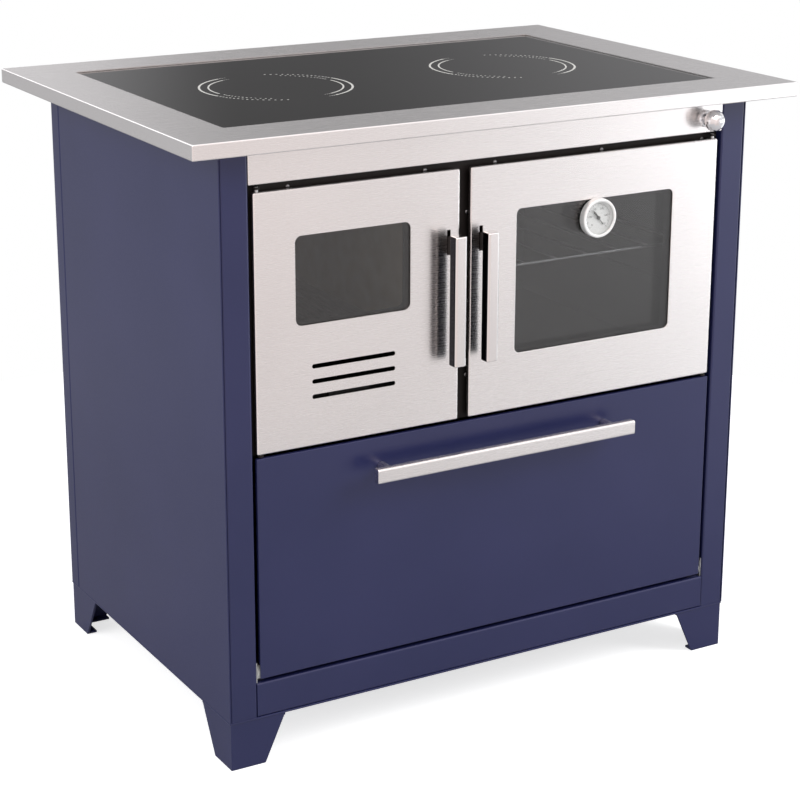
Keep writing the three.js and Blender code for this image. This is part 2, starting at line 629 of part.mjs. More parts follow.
// ---------------------------------------------------------------- worktop and hob
function worktopFrame() {
  const x = HALF_WIDTH + SIDE_OVERHANG;
  const y0 = FRONT - FRONT_OVERHANG;
  const y1 = BACK + BACK_OVERHANG;
  const r = WORKTOP_BEND;
  const options = {
    depth: WORKTOP_EDGE - 2 * r, bevelEnabled: true, bevelThickness: r,
    bevelSize: r, bevelOffset: -r, bevelSegments: 3, curveSegments: 3,
  };
  const outline = roundedRect(-x, x, y0, y1, r + 0.4);
  const block = solid(new THREE.ExtrudeGeometry(outline, options).translate(0, 0, BODY_TOP + r));
  const hollow = box(-x + SHEET, x - SHEET, y0 + SHEET, y1 - SHEET, BODY_TOP + SHEET, STOVE_HEIGHT - SHEET);
  const seatX = HALF_WIDTH - WORKTOP_SEAT;
  const under = box(-seatX, seatX, FRONT + WORKTOP_SEAT, BACK - WORKTOP_SEAT, BODY_TOP - 1, BODY_TOP + 3);
  const opening = roundedRect(-x + RIM_SIDE, x - RIM_SIDE, y0 + RIM_FRONT, y1 - RIM_BACK, HOB_CORNER);
  return cut(block, hollow, under, prismZ(opening, STOVE_HEIGHT - WORKTOP_EDGE, STOVE_HEIGHT + 1));
}

function hobPlan(inset) {
  const x = HALF_WIDTH + SIDE_OVERHANG - RIM_SIDE - inset;
  const y0 = FRONT - FRONT_OVERHANG + RIM_FRONT + inset;
  const y1 = BACK + BACK_OVERHANG - RIM_BACK - inset;
  return { x, y0, y1 };
}

function hobGlass() {
  const { x, y0, y1 } = hobPlan(HOB_CLEARANCE);
  return prismZ(roundedRect(-x, x, y0, y1, HOB_CORNER - 0.5), GLASS_TOP - HOB_GLASS, GLASS_TOP);
}

function hobSupport() {
  const hole = hobPlan(HOB_CLEARANCE + HOB_BEARING);
  const x = HALF_WIDTH - WORKTOP_SEAT - 1;
  const plate = box(-x, x, FRONT + WORKTOP_SEAT + 1, BACK - WORKTOP_SEAT - 1,
    HOB_RING_TOP - HOB_RING_SHEET, HOB_RING_TOP);
  return cut(plate, prismZ(roundedRect(-hole.x, hole.x, hole.y0, hole.y1, 8),
    HOB_RING_TOP - HOB_RING_SHEET - 1, HOB_RING_TOP + 1));
}

// ---------------------------------------------------------------- stove inside
function hingeEar(door, z0, z1) {
  const nose = HINGE_DEPTH - 0.1;
  const root = FRAME_FRONT + 0.5;
  const x = door.axisX;
  const y = HINGE_Y;
  const outline = new THREE.Shape();
  outline.moveTo(x - nose, root);
  outline.absarc(x, y, nose, Math.PI, 2 * Math.PI, false);
  outline.lineTo(x + nose, root);
  return cut(prismZ(outline, z0, z1, 10), rodZ(z0 - 1, z1 + 1, x, y, HINGE_ROD_RADIUS + HINGE_PLAY));
}

function topEarZ() {
  return DOOR_TOP + TOP_EAR_GAP;
}

function bottomEarZ() {
  return FRAME_BOTTOM + 0.4;
}

function frontFrame() {
  const half = INNER - SEAM;
  const plate = prismY(roundedRect(-half, half, FRAME_BOTTOM, CASING_TOP, 0), FRAME_FRONT, FRAME_BACK);
  const through = (r) => prismY(roundedRect(r.x0, r.x1, r.z0, r.z1, 4), FRAME_FRONT - 1, FRAME_BACK + 1);
  const keeper = (door) => box(door.latchX - KEEPER_HALF_WIDTH, door.latchX + KEEPER_HALF_WIDTH,
    FRAME_FRONT - 1, FRAME_BACK + 1, LATCH_Z - KEEPER_DROP, LATCH_Z + KEEPER_RISE);
  const rodBore = rodY(FRAME_FRONT - 1, FRAME_BACK + 1, DAMPER_X, DAMPER_Z, DAMPER_ROD + DAMPER_BORE_PLAY);
  const ears = [FIRE_DOOR, OVEN_DOOR].flatMap((door) => [
    hingeEar(door, bottomEarZ(), bottomEarZ() + HINGE_EAR),
    hingeEar(door, topEarZ(), topEarZ() + HINGE_EAR),
  ]);
  return cut(join(plate, ...ears), through(FIRE_OPENING), through(ASH_OPENING), through(OVEN_OPENING),
    keeper(FIRE_DOOR), keeper(OVEN_DOOR), rodBore);
}

function innerCasing() {
  const t = CASING_SHEET;
  const x = CASING_HALF;
  const floorTop = CASING_FLOOR + t;
  const shell = cut(
    box(-x, x, INSIDE_FRONT, CASING_BACK, CASING_FLOOR, CASING_TOP),
    box(-x + t, x - t, INSIDE_FRONT - 1, CASING_BACK - t, floorTop, CASING_TOP + 1));
  const partition = box(PARTITION_X, PARTITION_X + t, INSIDE_FRONT, CASING_BACK - 1,
    floorTop - 1, BODY_TOP - PARTITION_TOP_DROP);
  const shelf = box(-x + 1, PARTITION_X + 1, INSIDE_FRONT, CASING_BACK - 1, ASH_OPENING.z1, GRATE_Z);
  const g = gratePlan();
  const grateHole = box(g.x0 + GRATE_LEDGE, g.x1 - GRATE_LEDGE, g.y0 + GRATE_LEDGE, g.y1 - GRATE_LEDGE,
    ASH_OPENING.z1 - 1, GRATE_Z + 1);
  const seat = box(PARTITION_X + 1, x - 1, CASING_BACK - DAMPER_SEAT_DEPTH, CASING_BACK - 1,
    DAMPER_SEAT_Z - t, DAMPER_SEAT_Z);
  const d = damperPlan();
  const m = DAMPER_HOLE_MARGIN;
  const seatHole = box(d.x0 + m, d.x1 - m, d.y0 + m, d.y1 - m, DAMPER_SEAT_Z - t - 1, DAMPER_SEAT_Z + 1);
  const flueHole = rodY(CASING_BACK - t - 1, CASING_BACK + 1, FLUE_X, FLUE_Z, FLUE_RADIUS - FLUE_WALL, 32);
  const rail = (x0) => box(x0, x0 + ASH_RAIL_WIDTH, INSIDE_FRONT, INSIDE_FRONT + ASH_PAN_LENGTH,
    floorTop - 1, ASH_OPENING.z0 - SEAM);
  const pan0 = ashPanPlan();
  return cut(join(shell, partition, shelf, seat, rail(pan0.x0 + 10), rail(pan0.x1 - 10 - ASH_RAIL_WIDTH)),
    grateHole, seatHole, flueHole);
}

function gratePlan() {
  const left = -CASING_HALF + CASING_SHEET + BRICK_LEFT;
  const right = PARTITION_X - BRICK_RIGHT;
  const middle = (left + right) / 2;
  const y0 = INSIDE_FRONT + GRATE_SETBACK;
  return { x0: middle - GRATE_WIDTH / 2, x1: middle + GRATE_WIDTH / 2, y0, y1: y0 + GRATE_LENGTH };
}

function grate() {
  const g = gratePlan();
  const z0 = GRATE_Z + SEAM;
  const slab = box(g.x0, g.x1, g.y0, g.y1, z0, z0 + GRATE_THICKNESS);
  const usable = g.x1 - g.x0 - 2 * GRATE_MARGIN;
  const pitch = (usable - GRATE_SLOT_WIDTH) / (GRATE_SLOTS - 1);
  const slots = Array.from({ length: GRATE_SLOTS }, (_, i) => {
    const x = g.x0 + GRATE_MARGIN + i * pitch;
    const outline = roundedRect(x, x + GRATE_SLOT_WIDTH, g.y0 + GRATE_MARGIN, g.y1 - GRATE_MARGIN,
      GRATE_SLOT_WIDTH / 2 - 0.2);
    return prismZ(outline, z0 - 1, z0 + GRATE_THICKNESS + 1, 3);
  });
  return cut(slab, ...slots);
}

function brickWalls() {
  const z0 = GRATE_Z + SEAM;
  const z1 = z0 + BRICK_HEIGHT;
  const y0 = FRONT + LINER_BACK + FIRE_PLUG_DEPTH + BRICK_FRONT_GAP;
  const y1 = y0 + BRICK_LENGTH;
  const left = -CASING_HALF + CASING_SHEET + SEAM;
  const right = PARTITION_X - SEAM;
  const wall = (x0, x1) => box(x0, x1, y0, y1, z0, z1);
  return {
    left: wall(left, left + BRICK_LEFT),
    right: wall(right - BRICK_RIGHT, right),
    rear: box(left, right, y1 + SEAM, y1 + SEAM + BRICK_REAR, z0, z1),
  };
}

function ashPanPlan() {
  return { x0: ASH_OPENING.x0 + ASH_PAN_PLAY, x1: ASH_OPENING.x1 - ASH_PAN_PLAY };
}

function ashPan() {
  const { x0, x1 } = ashPanPlan();
  const y0 = INSIDE_FRONT + ASH_PAN_SETBACK;
  const y1 = y0 + ASH_PAN_LENGTH;
  const z0 = ASH_OPENING.z0;
  const z1 = z0 + ASH_PAN_HEIGHT;
  const t = SHEET;
  return cut(box(x0, x1, y0, y1, z0, z1), box(x0 + t, x1 - t, y0 + t, y1 - t, z0 + t, z1 + 1));
}

// Channel bent from sheet and fixed to the pan's front wall, to pull the pan out by.
function ashPanGrip() {
  const { x0, x1 } = ashPanPlan();
  const middle = (x0 + x1) / 2;
  const wall = INSIDE_FRONT + ASH_PAN_SETBACK - SEAM;
  const front = wall + SEAM - ASH_GRIP_REACH;
  const top = ASH_OPENING.z0 + ASH_PAN_HEIGHT - ASH_GRIP_DROP;
  const bottom = top - ASH_GRIP_DEPTH;
  return prismX(foldedSheet([[wall, bottom], [wall, top], [front, top], [front, bottom]], SHEET, 1),
    middle - ASH_GRIP_WIDTH / 2, middle + ASH_GRIP_WIDTH / 2);
}

function ovenBox() {
  const inner = OVEN_OPENING;
  const outer = grow(inner, OVEN_SHEET);
  const shell = cut(box(outer.x0, outer.x1, INSIDE_FRONT, OVEN_BACK, outer.z0, outer.z1),
    box(inner.x0, inner.x1, INSIDE_FRONT - 1, OVEN_BACK - OVEN_SHEET, inner.z0, inner.z1));
  const rails = RAIL_Z.flatMap((z) => [
    box(inner.x0 - 1, inner.x0 + OVEN_RAIL_WIDTH, INSIDE_FRONT + 12, OVEN_BACK - 10, z - OVEN_RAIL_THICKNESS, z),
    box(inner.x1 - OVEN_RAIL_WIDTH, inner.x1 + 1, INSIDE_FRONT + 12, OVEN_BACK - 10, z - OVEN_RAIL_THICKNESS, z),
  ]);
  return join(shell, ...rails);
}

// Wire shelf: a frame of rod, with thinner wires laid across it from front to back.
function ovenRack() {
  const x0 = OVEN_OPENING.x0 + RACK_PLAY + RACK_ROD;
  const x1 = OVEN_OPENING.x1 - RACK_PLAY - RACK_ROD;
  const y0 = INSIDE_FRONT + RACK_FRONT_GAP;
  const y1 = y0 + RACK_DEPTH;
  const z = RAIL_Z[RACK_RAIL] + SEAM + RACK_ROD;
  const frame = join(
    rodX(x0 - RACK_ROD, x1 + RACK_ROD, y0, z, RACK_ROD, 8),
    rodX(x0 - RACK_ROD, x1 + RACK_ROD, y1, z, RACK_ROD, 8),
    rodY(y0, y1, x0, z, RACK_ROD, 8),
    rodY(y0, y1, x1, z, RACK_ROD, 8));
  const count = Math.floor((x1 - x0) / RACK_PITCH) - 1;
  const wires = Array.from({ length: count }, (_, i) => {
    const x = (x0 + x1) / 2 + (i - (count - 1) / 2) * RACK_PITCH;
    return rodY(y0 - RACK_WIRE, y1 + RACK_WIRE, x, z + RACK_ROD, RACK_WIRE, 6);
  });
  return join(frame, ...wires);
}

function heatShield() {
  const half = INNER - SEAM;
  const z = FRAME_BOTTOM + SHIELD_RISE;
  const path = [[FRAME_BACK + SEAM, z], [CASING_BACK, z], [CASING_BACK, z - SHIELD_LIP]];
  return prismX(foldedSheet(path, SHIELD_SHEET, 1), -half, half);
}

// ---------------------------------------------------------------- flue and damper
function flueCollar() {
  const y0 = CASING_BACK + SEAM;
  const y1 = BACK + BACK_OVERHANG - FLUE_END_GAP;
  const r = FLUE_RADIUS;
  const profile = [[r - FLUE_WALL, y0], [r + FLUE_FLANGE, y0], [r + FLUE_FLANGE, y0 + FLUE_FLANGE_SHEET],
    [r, y0 + FLUE_FLANGE_SHEET],
    [r, y1], [r - FLUE_WALL, y1], [r - FLUE_WALL, y0]];
  return solid(turned(profile, 'y', 32).translate(FLUE_X, 0, FLUE_Z));
}

function damperPlan() {
  const x1 = DAMPER_X + DAMPER_ROD;
  const y1 = CASING_BACK - CASING_SHEET - 4;
  return { x0: x1 - DAMPER_PLATE_WIDTH, x1, y0: y1 - DAMPER_PLATE_DEPTH, y1 };
}

function damperSlide() {
  const d = damperPlan();
  const z0 = DAMPER_SEAT_Z + SEAM;
  const plate = box(d.x0, d.x1, d.y0, d.y1, z0, z0 + DAMPER_PLATE);
  const lug = box(DAMPER_X - DAMPER_ROD, DAMPER_X + DAMPER_ROD, d.y0, d.y0 + 6, z0 + 0.5, DAMPER_Z);
  const rod = rodY(FRONT - KNOB_STANDOFF + 4, d.y0 + 3, DAMPER_X, DAMPER_Z, DAMPER_ROD, 12);
  return join(plate, lug, rod);
}

function damperRosette() {
  const bore = DAMPER_ROD + DAMPER_BORE_PLAY;
  const y1 = FRONT - SEAM;
  const y0 = y1 - ROSETTE_DEPTH;
  const profile = [[bore, y1], [ROSETTE_RADIUS, y1], [ROSETTE_RADIUS, y0 + 2.2], [ROSETTE_RADIUS - 0.8, y0 + 0.8],
    [ROSETTE_RADIUS - 2.6, y0], [bore, y0], [bore, y1]];
  return solid(turned(profile, 'y', 28).translate(DAMPER_X, 0, DAMPER_Z));
}

function damperKnob() {
  const centre = FRONT - KNOB_STANDOFF;
  const neckEnd = FRONT - SEAM - ROSETTE_DEPTH - 0.5;
  const bore = DAMPER_ROD + SEAM;
  const profile = [[bore, neckEnd], [KNOB_NECK, neckEnd], [KNOB_NECK, centre + 11]];
  const flat = 0.82;
  for (let a = 52; a >= -80; a -= 12) {
    const t = THREE.MathUtils.degToRad(a);
    profile.push([Math.max(KNOB_RADIUS * Math.cos(t), 0), centre + KNOB_RADIUS * flat * Math.sin(t)]);
  }
  profile.push([0, centre - KNOB_RADIUS * flat]);
  profile.push([0, centre + 4 - SEAM]);
  profile.push([bore, centre + 4 - SEAM]);
  profile.push([bore, neckEnd]);
  return solid(turned(profile, 'y', 28).translate(DAMPER_X, 0, DAMPER_Z));
}

// ---------------------------------------------------------------- doors
function doorRect(door) {
  return { x0: door.left, x1: door.right, z0: DOOR_BOTTOM, z1: DOOR_TOP };
}

function latchSlot(door, y0, y1, below) {
  const half = LATCH_PLATE / 2 + LATCH_PLAY;
  return box(door.latchX - half, door.latchX + half, y0, y1,
    LATCH_Z - LATCH_BRACKET / 2 - below, LATCH_Z + LATCH_BRACKET / 2 + LATCH_SLOT_RISE);
}

function doorSkin(door, window, corner) {
  const skin = pan(doorRect(door), FRONT, SKIN_RETURN, SHEET, SKIN_BEND);
  const glassHole = prismY(roundedRect(window.x0, window.x1, window.z0, window.z1, corner),
    FRONT - 1, FRONT + SHEET + 1);
  const rodNotch = box(door.axisX - HINGE_ROD_RADIUS - 1, door.axisX + HINGE_ROD_RADIUS + 1,
    FRONT + SHEET, FRONT + SKIN_RETURN + 1, DOOR_BOTTOM - 1, DOOR_TOP + 1);
  return cut(skin, glassHole, rodNotch, latchSlot(door, FRONT - 1, FRONT + SHEET + 1, 1.5));
}

function fireDoorSkin() {
  const slots = AIR_SLOTS.map((s) => prismY(
    roundedRect(s.x0, s.x1, s.z - AIR_SLOT_WIDTH / 2, s.z + AIR_SLOT_WIDTH / 2, AIR_SLOT_WIDTH / 2 - 0.1),
    FRONT - 1, FRONT + SHEET + 1));
  return cut(doorSkin(FIRE_DOOR, FIRE_WINDOW, FIRE_WINDOW_CORNER), ...slots);
}

// Rope gasket lying in the liner's groove.
function doorGasket(door) {
  const half = GASKET / 2;
  const back = FRAME_FRONT - SEAM;
  return ringY(grow(door.gasket, half), grow(door.gasket, -half), back - GASKET, back, 8, 2);
}

// The black inner part of a door: it holds the panes, the rope, the hinge rod and the latch pin.
function doorLiner(door, window, corner, plug) {
  const y0 = FRONT + SHEET + SEAM;
  const y1 = FRONT + LINER_BACK;
  const rect = grow(doorRect(door), -LINER_INSET);
  const body = prismY(roundedRect(rect.x0, rect.x1, rect.z0, rect.z1, 3), y0, y1);
  const grooveHalf = GASKET / 2 + GASKET_GROOVE_PLAY;
  const groove = ringY(grow(door.gasket, grooveHalf), grow(door.gasket, -grooveHalf),
    FRAME_FRONT - SEAM - GASKET - GASKET_GROOVE_PLAY, y1 + 1, 8, 2);
  const plugBody = prismY(roundedRect(plug.rect.x0, plug.rect.x1, plug.rect.z0, plug.rect.z1, 4),
    y0 + 2, y1 + plug.depth);
  const pane = grow(window, DOOR_GLASS_LAP);
  const pocket = prismY(roundedRect(pane.x0 - 0.5, pane.x1 + 0.5, pane.z0 - 0.5, pane.z1 + 0.5, corner),
    y0 - 1, y0 + DOOR_GLASS + SEAM);
  const sight = prismY(roundedRect(window.x0, window.x1, window.z0, window.z1, corner),
    y0 - 1, y1 + plug.depth + 1);
  const lug = (z0) => hingeLug(door, z0, y0, y1);
  const withLugs = join(cut(body, groove), plugBody, lug(DOOR_BOTTOM + SHEET + SEAM),
    lug(DOOR_TOP - SHEET - SEAM - HINGE_LUG));
  const rodBore = rodZ(DOOR_BOTTOM, DOOR_TOP, door.axisX, HINGE_Y, HINGE_ROD_RADIUS + HINGE_PLAY);
  const pinBore = rodX(door.latchX - LATCH_PIN_HALF - SEAM, door.latchX + LATCH_PIN_HALF + SEAM,
    FRONT + LATCH_DEPTH, LATCH_Z, LATCH_PIN_RADIUS + SEAM);
  return cut(withLugs, pocket, sight, rodBore, pinBore, latchSlot(door, y0 - 1, y1 + 1, 6));
}

// Block round the hinge rod at the top or the foot of a door.
function hingeLug(door, z0, y0, y1) {
  const out = door.axisX + door.hingeSide * (HINGE_SIDE - SHEET - SEAM);
  const inward = door.axisX - door.hingeSide * (LINER_INSET - HINGE_SIDE + 3);
  return box(Math.min(out, inward), Math.max(out, inward), y0, y1, z0, z0 + HINGE_LUG);
}

function hingeRod(door) {
  const z0 = bottomEarZ();
  const z1 = topEarZ() + HINGE_EAR + 0.6;
  return rodZ(z0, z1, door.axisX, HINGE_Y, HINGE_ROD_RADIUS, 16);
}

function fireDoorLiner() {
  const plug = { rect: grow(FIRE_OPENING, -PLUG_PLAY), depth: FIRE_PLUG_DEPTH };
  const liner = doorLiner(FIRE_DOOR, FIRE_WINDOW, FIRE_WINDOW_CORNER, plug);
  const first = AIR_SLOTS[0];
  const last = AIR_SLOTS[AIR_SLOT_COUNT - 1];
  const air = { x0: first.x0 - AIR_SLOT_MARGIN, x1: first.x1 + AIR_SLOT_MARGIN };
  return cut(liner, box(air.x0, air.x1, FRONT, FRONT + LINER_BACK + 1,
    last.z - AIR_SLOT_WIDTH / 2 - AIR_SLOT_MARGIN, first.z + AIR_SLOT_WIDTH / 2 + AIR_SLOT_MARGIN));
}

function innerPanePlan() {
  return grow(OVEN_WINDOW, DOOR_GLASS_LAP);
}

function ovenDoorLiner() {
  const plug = { rect: grow(OVEN_OPENING, -PLUG_PLAY), depth: OVEN_PLUG_DEPTH };
  const liner = doorLiner(OVEN_DOOR, OVEN_WINDOW, OVEN_WINDOW_CORNER, plug);
  const pane = innerPanePlan();
  const back = FRONT + LINER_BACK + OVEN_PLUG_DEPTH;
  return cut(liner, prismY(roundedRect(pane.x0 - 0.5, pane.x1 + 0.5, pane.z0 - 0.5, pane.z1 + 0.5, 4),
    back - INNER_PANE - SEAM, back + 1));
}

function doorGlass(window, corner, hole) {
  const pane = grow(window, DOOR_GLASS_LAP);
  const y0 = FRONT + SHEET + SEAM;
  const glass = prismY(roundedRect(pane.x0, pane.x1, pane.z0, pane.z1, corner), y0, y0 + DOOR_GLASS);
  return hole ? cut(glass, paneHole()) : glass;
}

function paneHole() {
  return rodY(FRONT, FRONT + PANE_HOLE_REACH, THERMOMETER_X, THERMOMETER_Z, PANE_HOLE_RADIUS);
}

function ovenInnerPane() {
  const pane = innerPanePlan();
  const back = FRONT + LINER_BACK + OVEN_PLUG_DEPTH;
  const glass = prismY(roundedRect(pane.x0, pane.x1, pane.z0, pane.z1, 4), back - INNER_PANE, back);
  return cut(glass, paneHole());
}

// ---------------------------------------------------------------- lift latch and handle bar
function handleBar(door) {
  const top = LATCH_Z + BAR_TOP_ABOVE_LATCH;
  const y1 = FRONT - BAR_STANDOFF;
  const options = {
    depth: BAR_LENGTH - 2 * BAR_END_BEVEL, bevelEnabled: true, bevelThickness: BAR_END_BEVEL,
    bevelSize: BAR_END_BEVEL, bevelOffset: -BAR_END_BEVEL, bevelSegments: 2, curveSegments: 3,
  };
  const outline = roundedRect(door.latchX - BAR_WIDTH / 2, door.latchX + BAR_WIDTH / 2,
    y1 - BAR_DEPTH, y1, BAR_CORNER);
  return solid(new THREE.ExtrudeGeometry(outline, options)
    .translate(0, 0, top - BAR_LENGTH + BAR_END_BEVEL));
}

// One plate from the bar, through the skin, to a hook behind the front frame; it rocks on its pin.
function latchLever(door) {
  const half = LATCH_BRACKET / 2;
  const y0 = FRONT - BAR_STANDOFF + SEAM;
  const y1 = FRONT + LATCH_TAIL;
  const tailLow = LATCH_Z - LATCH_TAIL_HEIGHT / 2;
  const tailTop = LATCH_Z + LATCH_TAIL_HEIGHT / 2;
  const neck = FRONT + LATCH_DEPTH;
  const outline = [
    [y0, LATCH_Z - half], [neck - 4, LATCH_Z - half], [neck + 2, tailLow], [y1 - 3, tailLow], [y1, tailLow + 3],
    [y1, tailTop + LATCH_TOOTH - 2], [y1 - 2, tailTop + LATCH_TOOTH],
    [y1 - LATCH_TOOTH_LENGTH, tailTop + LATCH_TOOTH], [y1 - LATCH_TOOTH_LENGTH, tailTop],
    [neck + 2, tailTop], [neck - 4, LATCH_Z + half], [y0, LATCH_Z + half],
  ];
  const plate = prismX(outline, door.latchX - LATCH_PLATE / 2, door.latchX + LATCH_PLATE / 2);
  return join(plate, rodX(door.latchX - LATCH_PIN_HALF, door.latchX + LATCH_PIN_HALF, neck, LATCH_Z,
    LATCH_PIN_RADIUS, 12));
}

// ---------------------------------------------------------------- thermometer
function thermometerCase() {
  const back = FRONT - SEAM;
  const face = FRONT - THERMOMETER_DEPTH;
  const R = THERMOMETER_RADIUS;
  const r = R - BEZEL_WALL;
  const lip = R - BEZEL_LIP;
  const floor = back - THERMOMETER_FLOOR;
  const glass = FRONT + SHEET;
  const profile = [[0, floor], [r, floor], [r, face + 1.2], [lip, face + 0.6], [lip + 1.6, face], [R - 1.6, face],
    [R - 0.5, face + 0.6], [R, face + 2], [R, back], [THERMOMETER_NECK, back], [THERMOMETER_NECK, glass],
    [PROBE_RADIUS, glass], [PROBE_RADIUS, FRONT + PROBE_LENGTH - 2], [PROBE_RADIUS - 1.5, FRONT + PROBE_LENGTH],
    [0, FRONT + PROBE_LENGTH]];
  return solid(turned(profile, 'y', 36).translate(THERMOMETER_X, 0, THERMOMETER_Z));
}

function thermometerDial() {
  const y1 = FRONT - SEAM - THERMOMETER_FLOOR - SEAM;
  const y0 = y1 - DIAL_THICKNESS;
  const r = THERMOMETER_RADIUS - BEZEL_WALL - SEAM;
  const profile = [[1.4, y0], [r, y0], [r, y1], [1.4, y1], [1.4, y0]];
  return solid(turned(profile, 'y', 32).translate(THERMOMETER_X, 0, THERMOMETER_Z));
}

function thermometerLens() {
  const y0 = FRONT - THERMOMETER_DEPTH + 1.2 + SEAM;
  const r = THERMOMETER_RADIUS - BEZEL_WALL - SEAM;
  return rodY(y0, y0 + LENS_THICKNESS, THERMOMETER_X, THERMOMETER_Z, r, 32);
}

function thermometerNeedle() {
  const y1 = FRONT - SEAM - THERMOMETER_FLOOR - SEAM - DIAL_THICKNESS - 1.4;
  const y0 = y1 - NEEDLE_THICKNESS;
  const a = THREE.MathUtils.degToRad(NEEDLE_ANGLE);
  const place = ([along, across]) => [
    THERMOMETER_X + along * Math.cos(a) - across * Math.sin(a),
    THERMOMETER_Z + along * Math.sin(a) + across * Math.cos(a),
  ];
  const outline = [[-NEEDLE_TAIL, -0.4], [0, -0.6], [NEEDLE_LENGTH - 3.5, -1.3], [NEEDLE_LENGTH, 0],
    [NEEDLE_LENGTH - 3.5, 1.3], [0, 0.6], [-NEEDLE_TAIL, 0.4]].map(place);
  const blade = prismY(outline, y0, y1);
  const hub = rodY(y0 - 0.4, y1 + 0.6, THERMOMETER_X, THERMOMETER_Z, 2.6, 14);
  const spindle = rodY(y1, FRONT - SEAM - THERMOMETER_FLOOR - SEAM, THERMOMETER_X, THERMOMETER_Z, 0.9, 10);
  return join(blade, hub, spindle);
}

// ---------------------------------------------------------------- wood drawer
function drawerFront() {
  const rect = { x0: -DRAWER_HALF, x1: DRAWER_HALF, z0: DRAWER_BOTTOM, z1: DRAWER_TOP };
  const skin = pan(rect, FRONT, SKIN_RETURN, SHEET, SHEET_BEND);
  const notch = (side) => {
    const outer = side * (DRAWER_HALF + 1);
    const inner = side * (ROLLER_IN - 1);
    return box(Math.min(outer, inner), Math.max(outer, inner), FRONT + SHEET,
      FRONT + SKIN_RETURN + 1, DRAWER_BOTTOM - 1, DRAWER_BOTTOM + DRAWER_NOTCH);
  };
  return cut(skin, notch(-1), notch(1));
}

// Open wood box with a flange on each side that runs on the rollers.
function drawerBox() {
  const x = DRAWER_BOX_HALF;
  const z0 = DRAWER_BOTTOM + DRAWER_BOX_RISE;
  const z1 = DRAWER_TOP - DRAWER_BOX_DROP;
  const t = SHEET;
  const tray = cut(box(-x, x, DRAWER_BOX_FRONT, DRAWER_BOX_BACK, z0, z1),
    box(-x + t, x - t, DRAWER_BOX_FRONT + t, DRAWER_BOX_BACK - t, z0 + t, z1 + 1));
  const flangeZ = ROLLER_Z + ROLLER_RADIUS + SEAM;
  const flangeOut = ROLLER_OUT - 0.2;
  const rearY = DRAWER_BOX_BACK - ROLLER_REAR_SETBACK;
  const sides = [-1, 1].flatMap((side) => {
    const inner = side * (x - 0.5);
    const flange = box(Math.min(side * flangeOut, inner), Math.max(side * flangeOut, inner),
      FRONT + SKIN_RETURN + SEAM, DRAWER_BOX_BACK, flangeZ, flangeZ + t);
    const axleEnd = side * (ROLLER_OUT - 0.3);
    const axle = rodX(Math.min(axleEnd, inner), Math.max(axleEnd, inner), rearY, ROLLER_Z, AXLE_RADIUS);
    return [flange, axle];
  });
  return join(tray, ...sides);
}

function drawerPull() {
  const z = DRAWER_TOP - PULL_DROP;
  const half = PULL_LENGTH / 2;
  const y1 = FRONT - PULL_STANDOFF;
  const bar = solid(new THREE.ExtrudeGeometry(
    roundedRect(y1 - PULL_DEPTH, y1, z - PULL_HEIGHT / 2, z + PULL_HEIGHT / 2, PULL_CORNER), {
      depth: PULL_LENGTH - 2, bevelEnabled: true, bevelThickness: 1, bevelSize: 1, bevelOffset: -1,
      bevelSegments: 2, curveSegments: 3,
    }).applyMatrix4(YZ_TO_WORLD).translate(-half + 1, 0, 0));
  const stem = (x) => rodY(y1 - 2, FRONT - SEAM, x, z, PULL_STEM_RADIUS);
  return join(bar, stem(-half + PULL_STEM_INSET), stem(half - PULL_STEM_INSET));
}

// Roller guide on the post: a web with a bottom flange, and the axle of the front roller.
function drawerRunner(side) {
  const out = RUNNER_OUT;
  const z0 = ROLLER_Z - ROLLER_RADIUS - SEAM - SHEET;
  const z1 = ROLLER_Z + RUNNER_WEB_ABOVE;
  const y0 = FRONT + SHEET + 1;
  const y1 = BACK - RUNNER_REAR_GAP;
  const span = (a, b) => [Math.min(side * a, side * b), Math.max(side * a, side * b)];
  const step = FRONT + KICKPLATE_RETURN + SEAM;
  const web = prismX([[step, z0], [y1, z0], [y1, z1], [y0, z1], [y0, KICK_TOP + SEAM],
    [step, KICK_TOP + SEAM]], ...span(out, out - SHEET));
  const flange = box(...span(out, out - RUNNER_FLANGE), FRONT + KICKPLATE_RETURN + 1, y1, z0, z0 + SHEET);
  const axle = rodX(...span(out - 0.5, ROLLER_IN + 0.3), FRONT + ROLLER_FRONT_SETBACK, ROLLER_Z, AXLE_RADIUS);
  return join(web, flange, axle);
}

function roller(side, y) {
  const x0 = side > 0 ? ROLLER_IN : -ROLLER_OUT;
  const bore = AXLE_RADIUS + SEAM;
  const R = ROLLER_RADIUS;
  const profile = [[bore, x0], [R - 0.8, x0], [R, x0 + 0.8], [R, x0 + ROLLER_WIDTH - 0.8],
    [R - 0.8, x0 + ROLLER_WIDTH], [bore, x0 + ROLLER_WIDTH], [bore, x0]];
  return solid(turned(profile, 'x', 24).translate(0, y, ROLLER_Z));
}

// ---------------------------------------------------------------- assembly
// Adds a mesh whose geometry is measured from the group's own pivot.
function piece(group, name, body, material) {
  const { vertProperties, triVerts } = body.getMesh();
  const geometry = new THREE.BufferGeometry();
  geometry.setAttribute('position', new THREE.BufferAttribute(Float32Array.from(vertProperties), 3));
  geometry.setIndex(new THREE.BufferAttribute(Uint32Array.from(triVerts), 1));
  const p = group.userData.pivot;
  geometry.translate(-p.x, -p.y, -p.z);
  geometry.computeVertexNormals();
  const mesh = new THREE.Mesh(geometry, material);
  mesh.name = name;
  group.add(mesh);
  return mesh;
}

// A group that turns or slides about its pivot, given in the stove's frame.
function assembly(parent, x = 0, y = 0, z = 0) {
  const group = new THREE.Group();
  group.userData.pivot = new THREE.Vector3(x, y, z);
  group.position.copy(group.userData.pivot).sub(parent ? parent.userData.pivot : new THREE.Vector3());
  if (parent) parent.add(group);
  return group;
}

const stove = assembly(null);

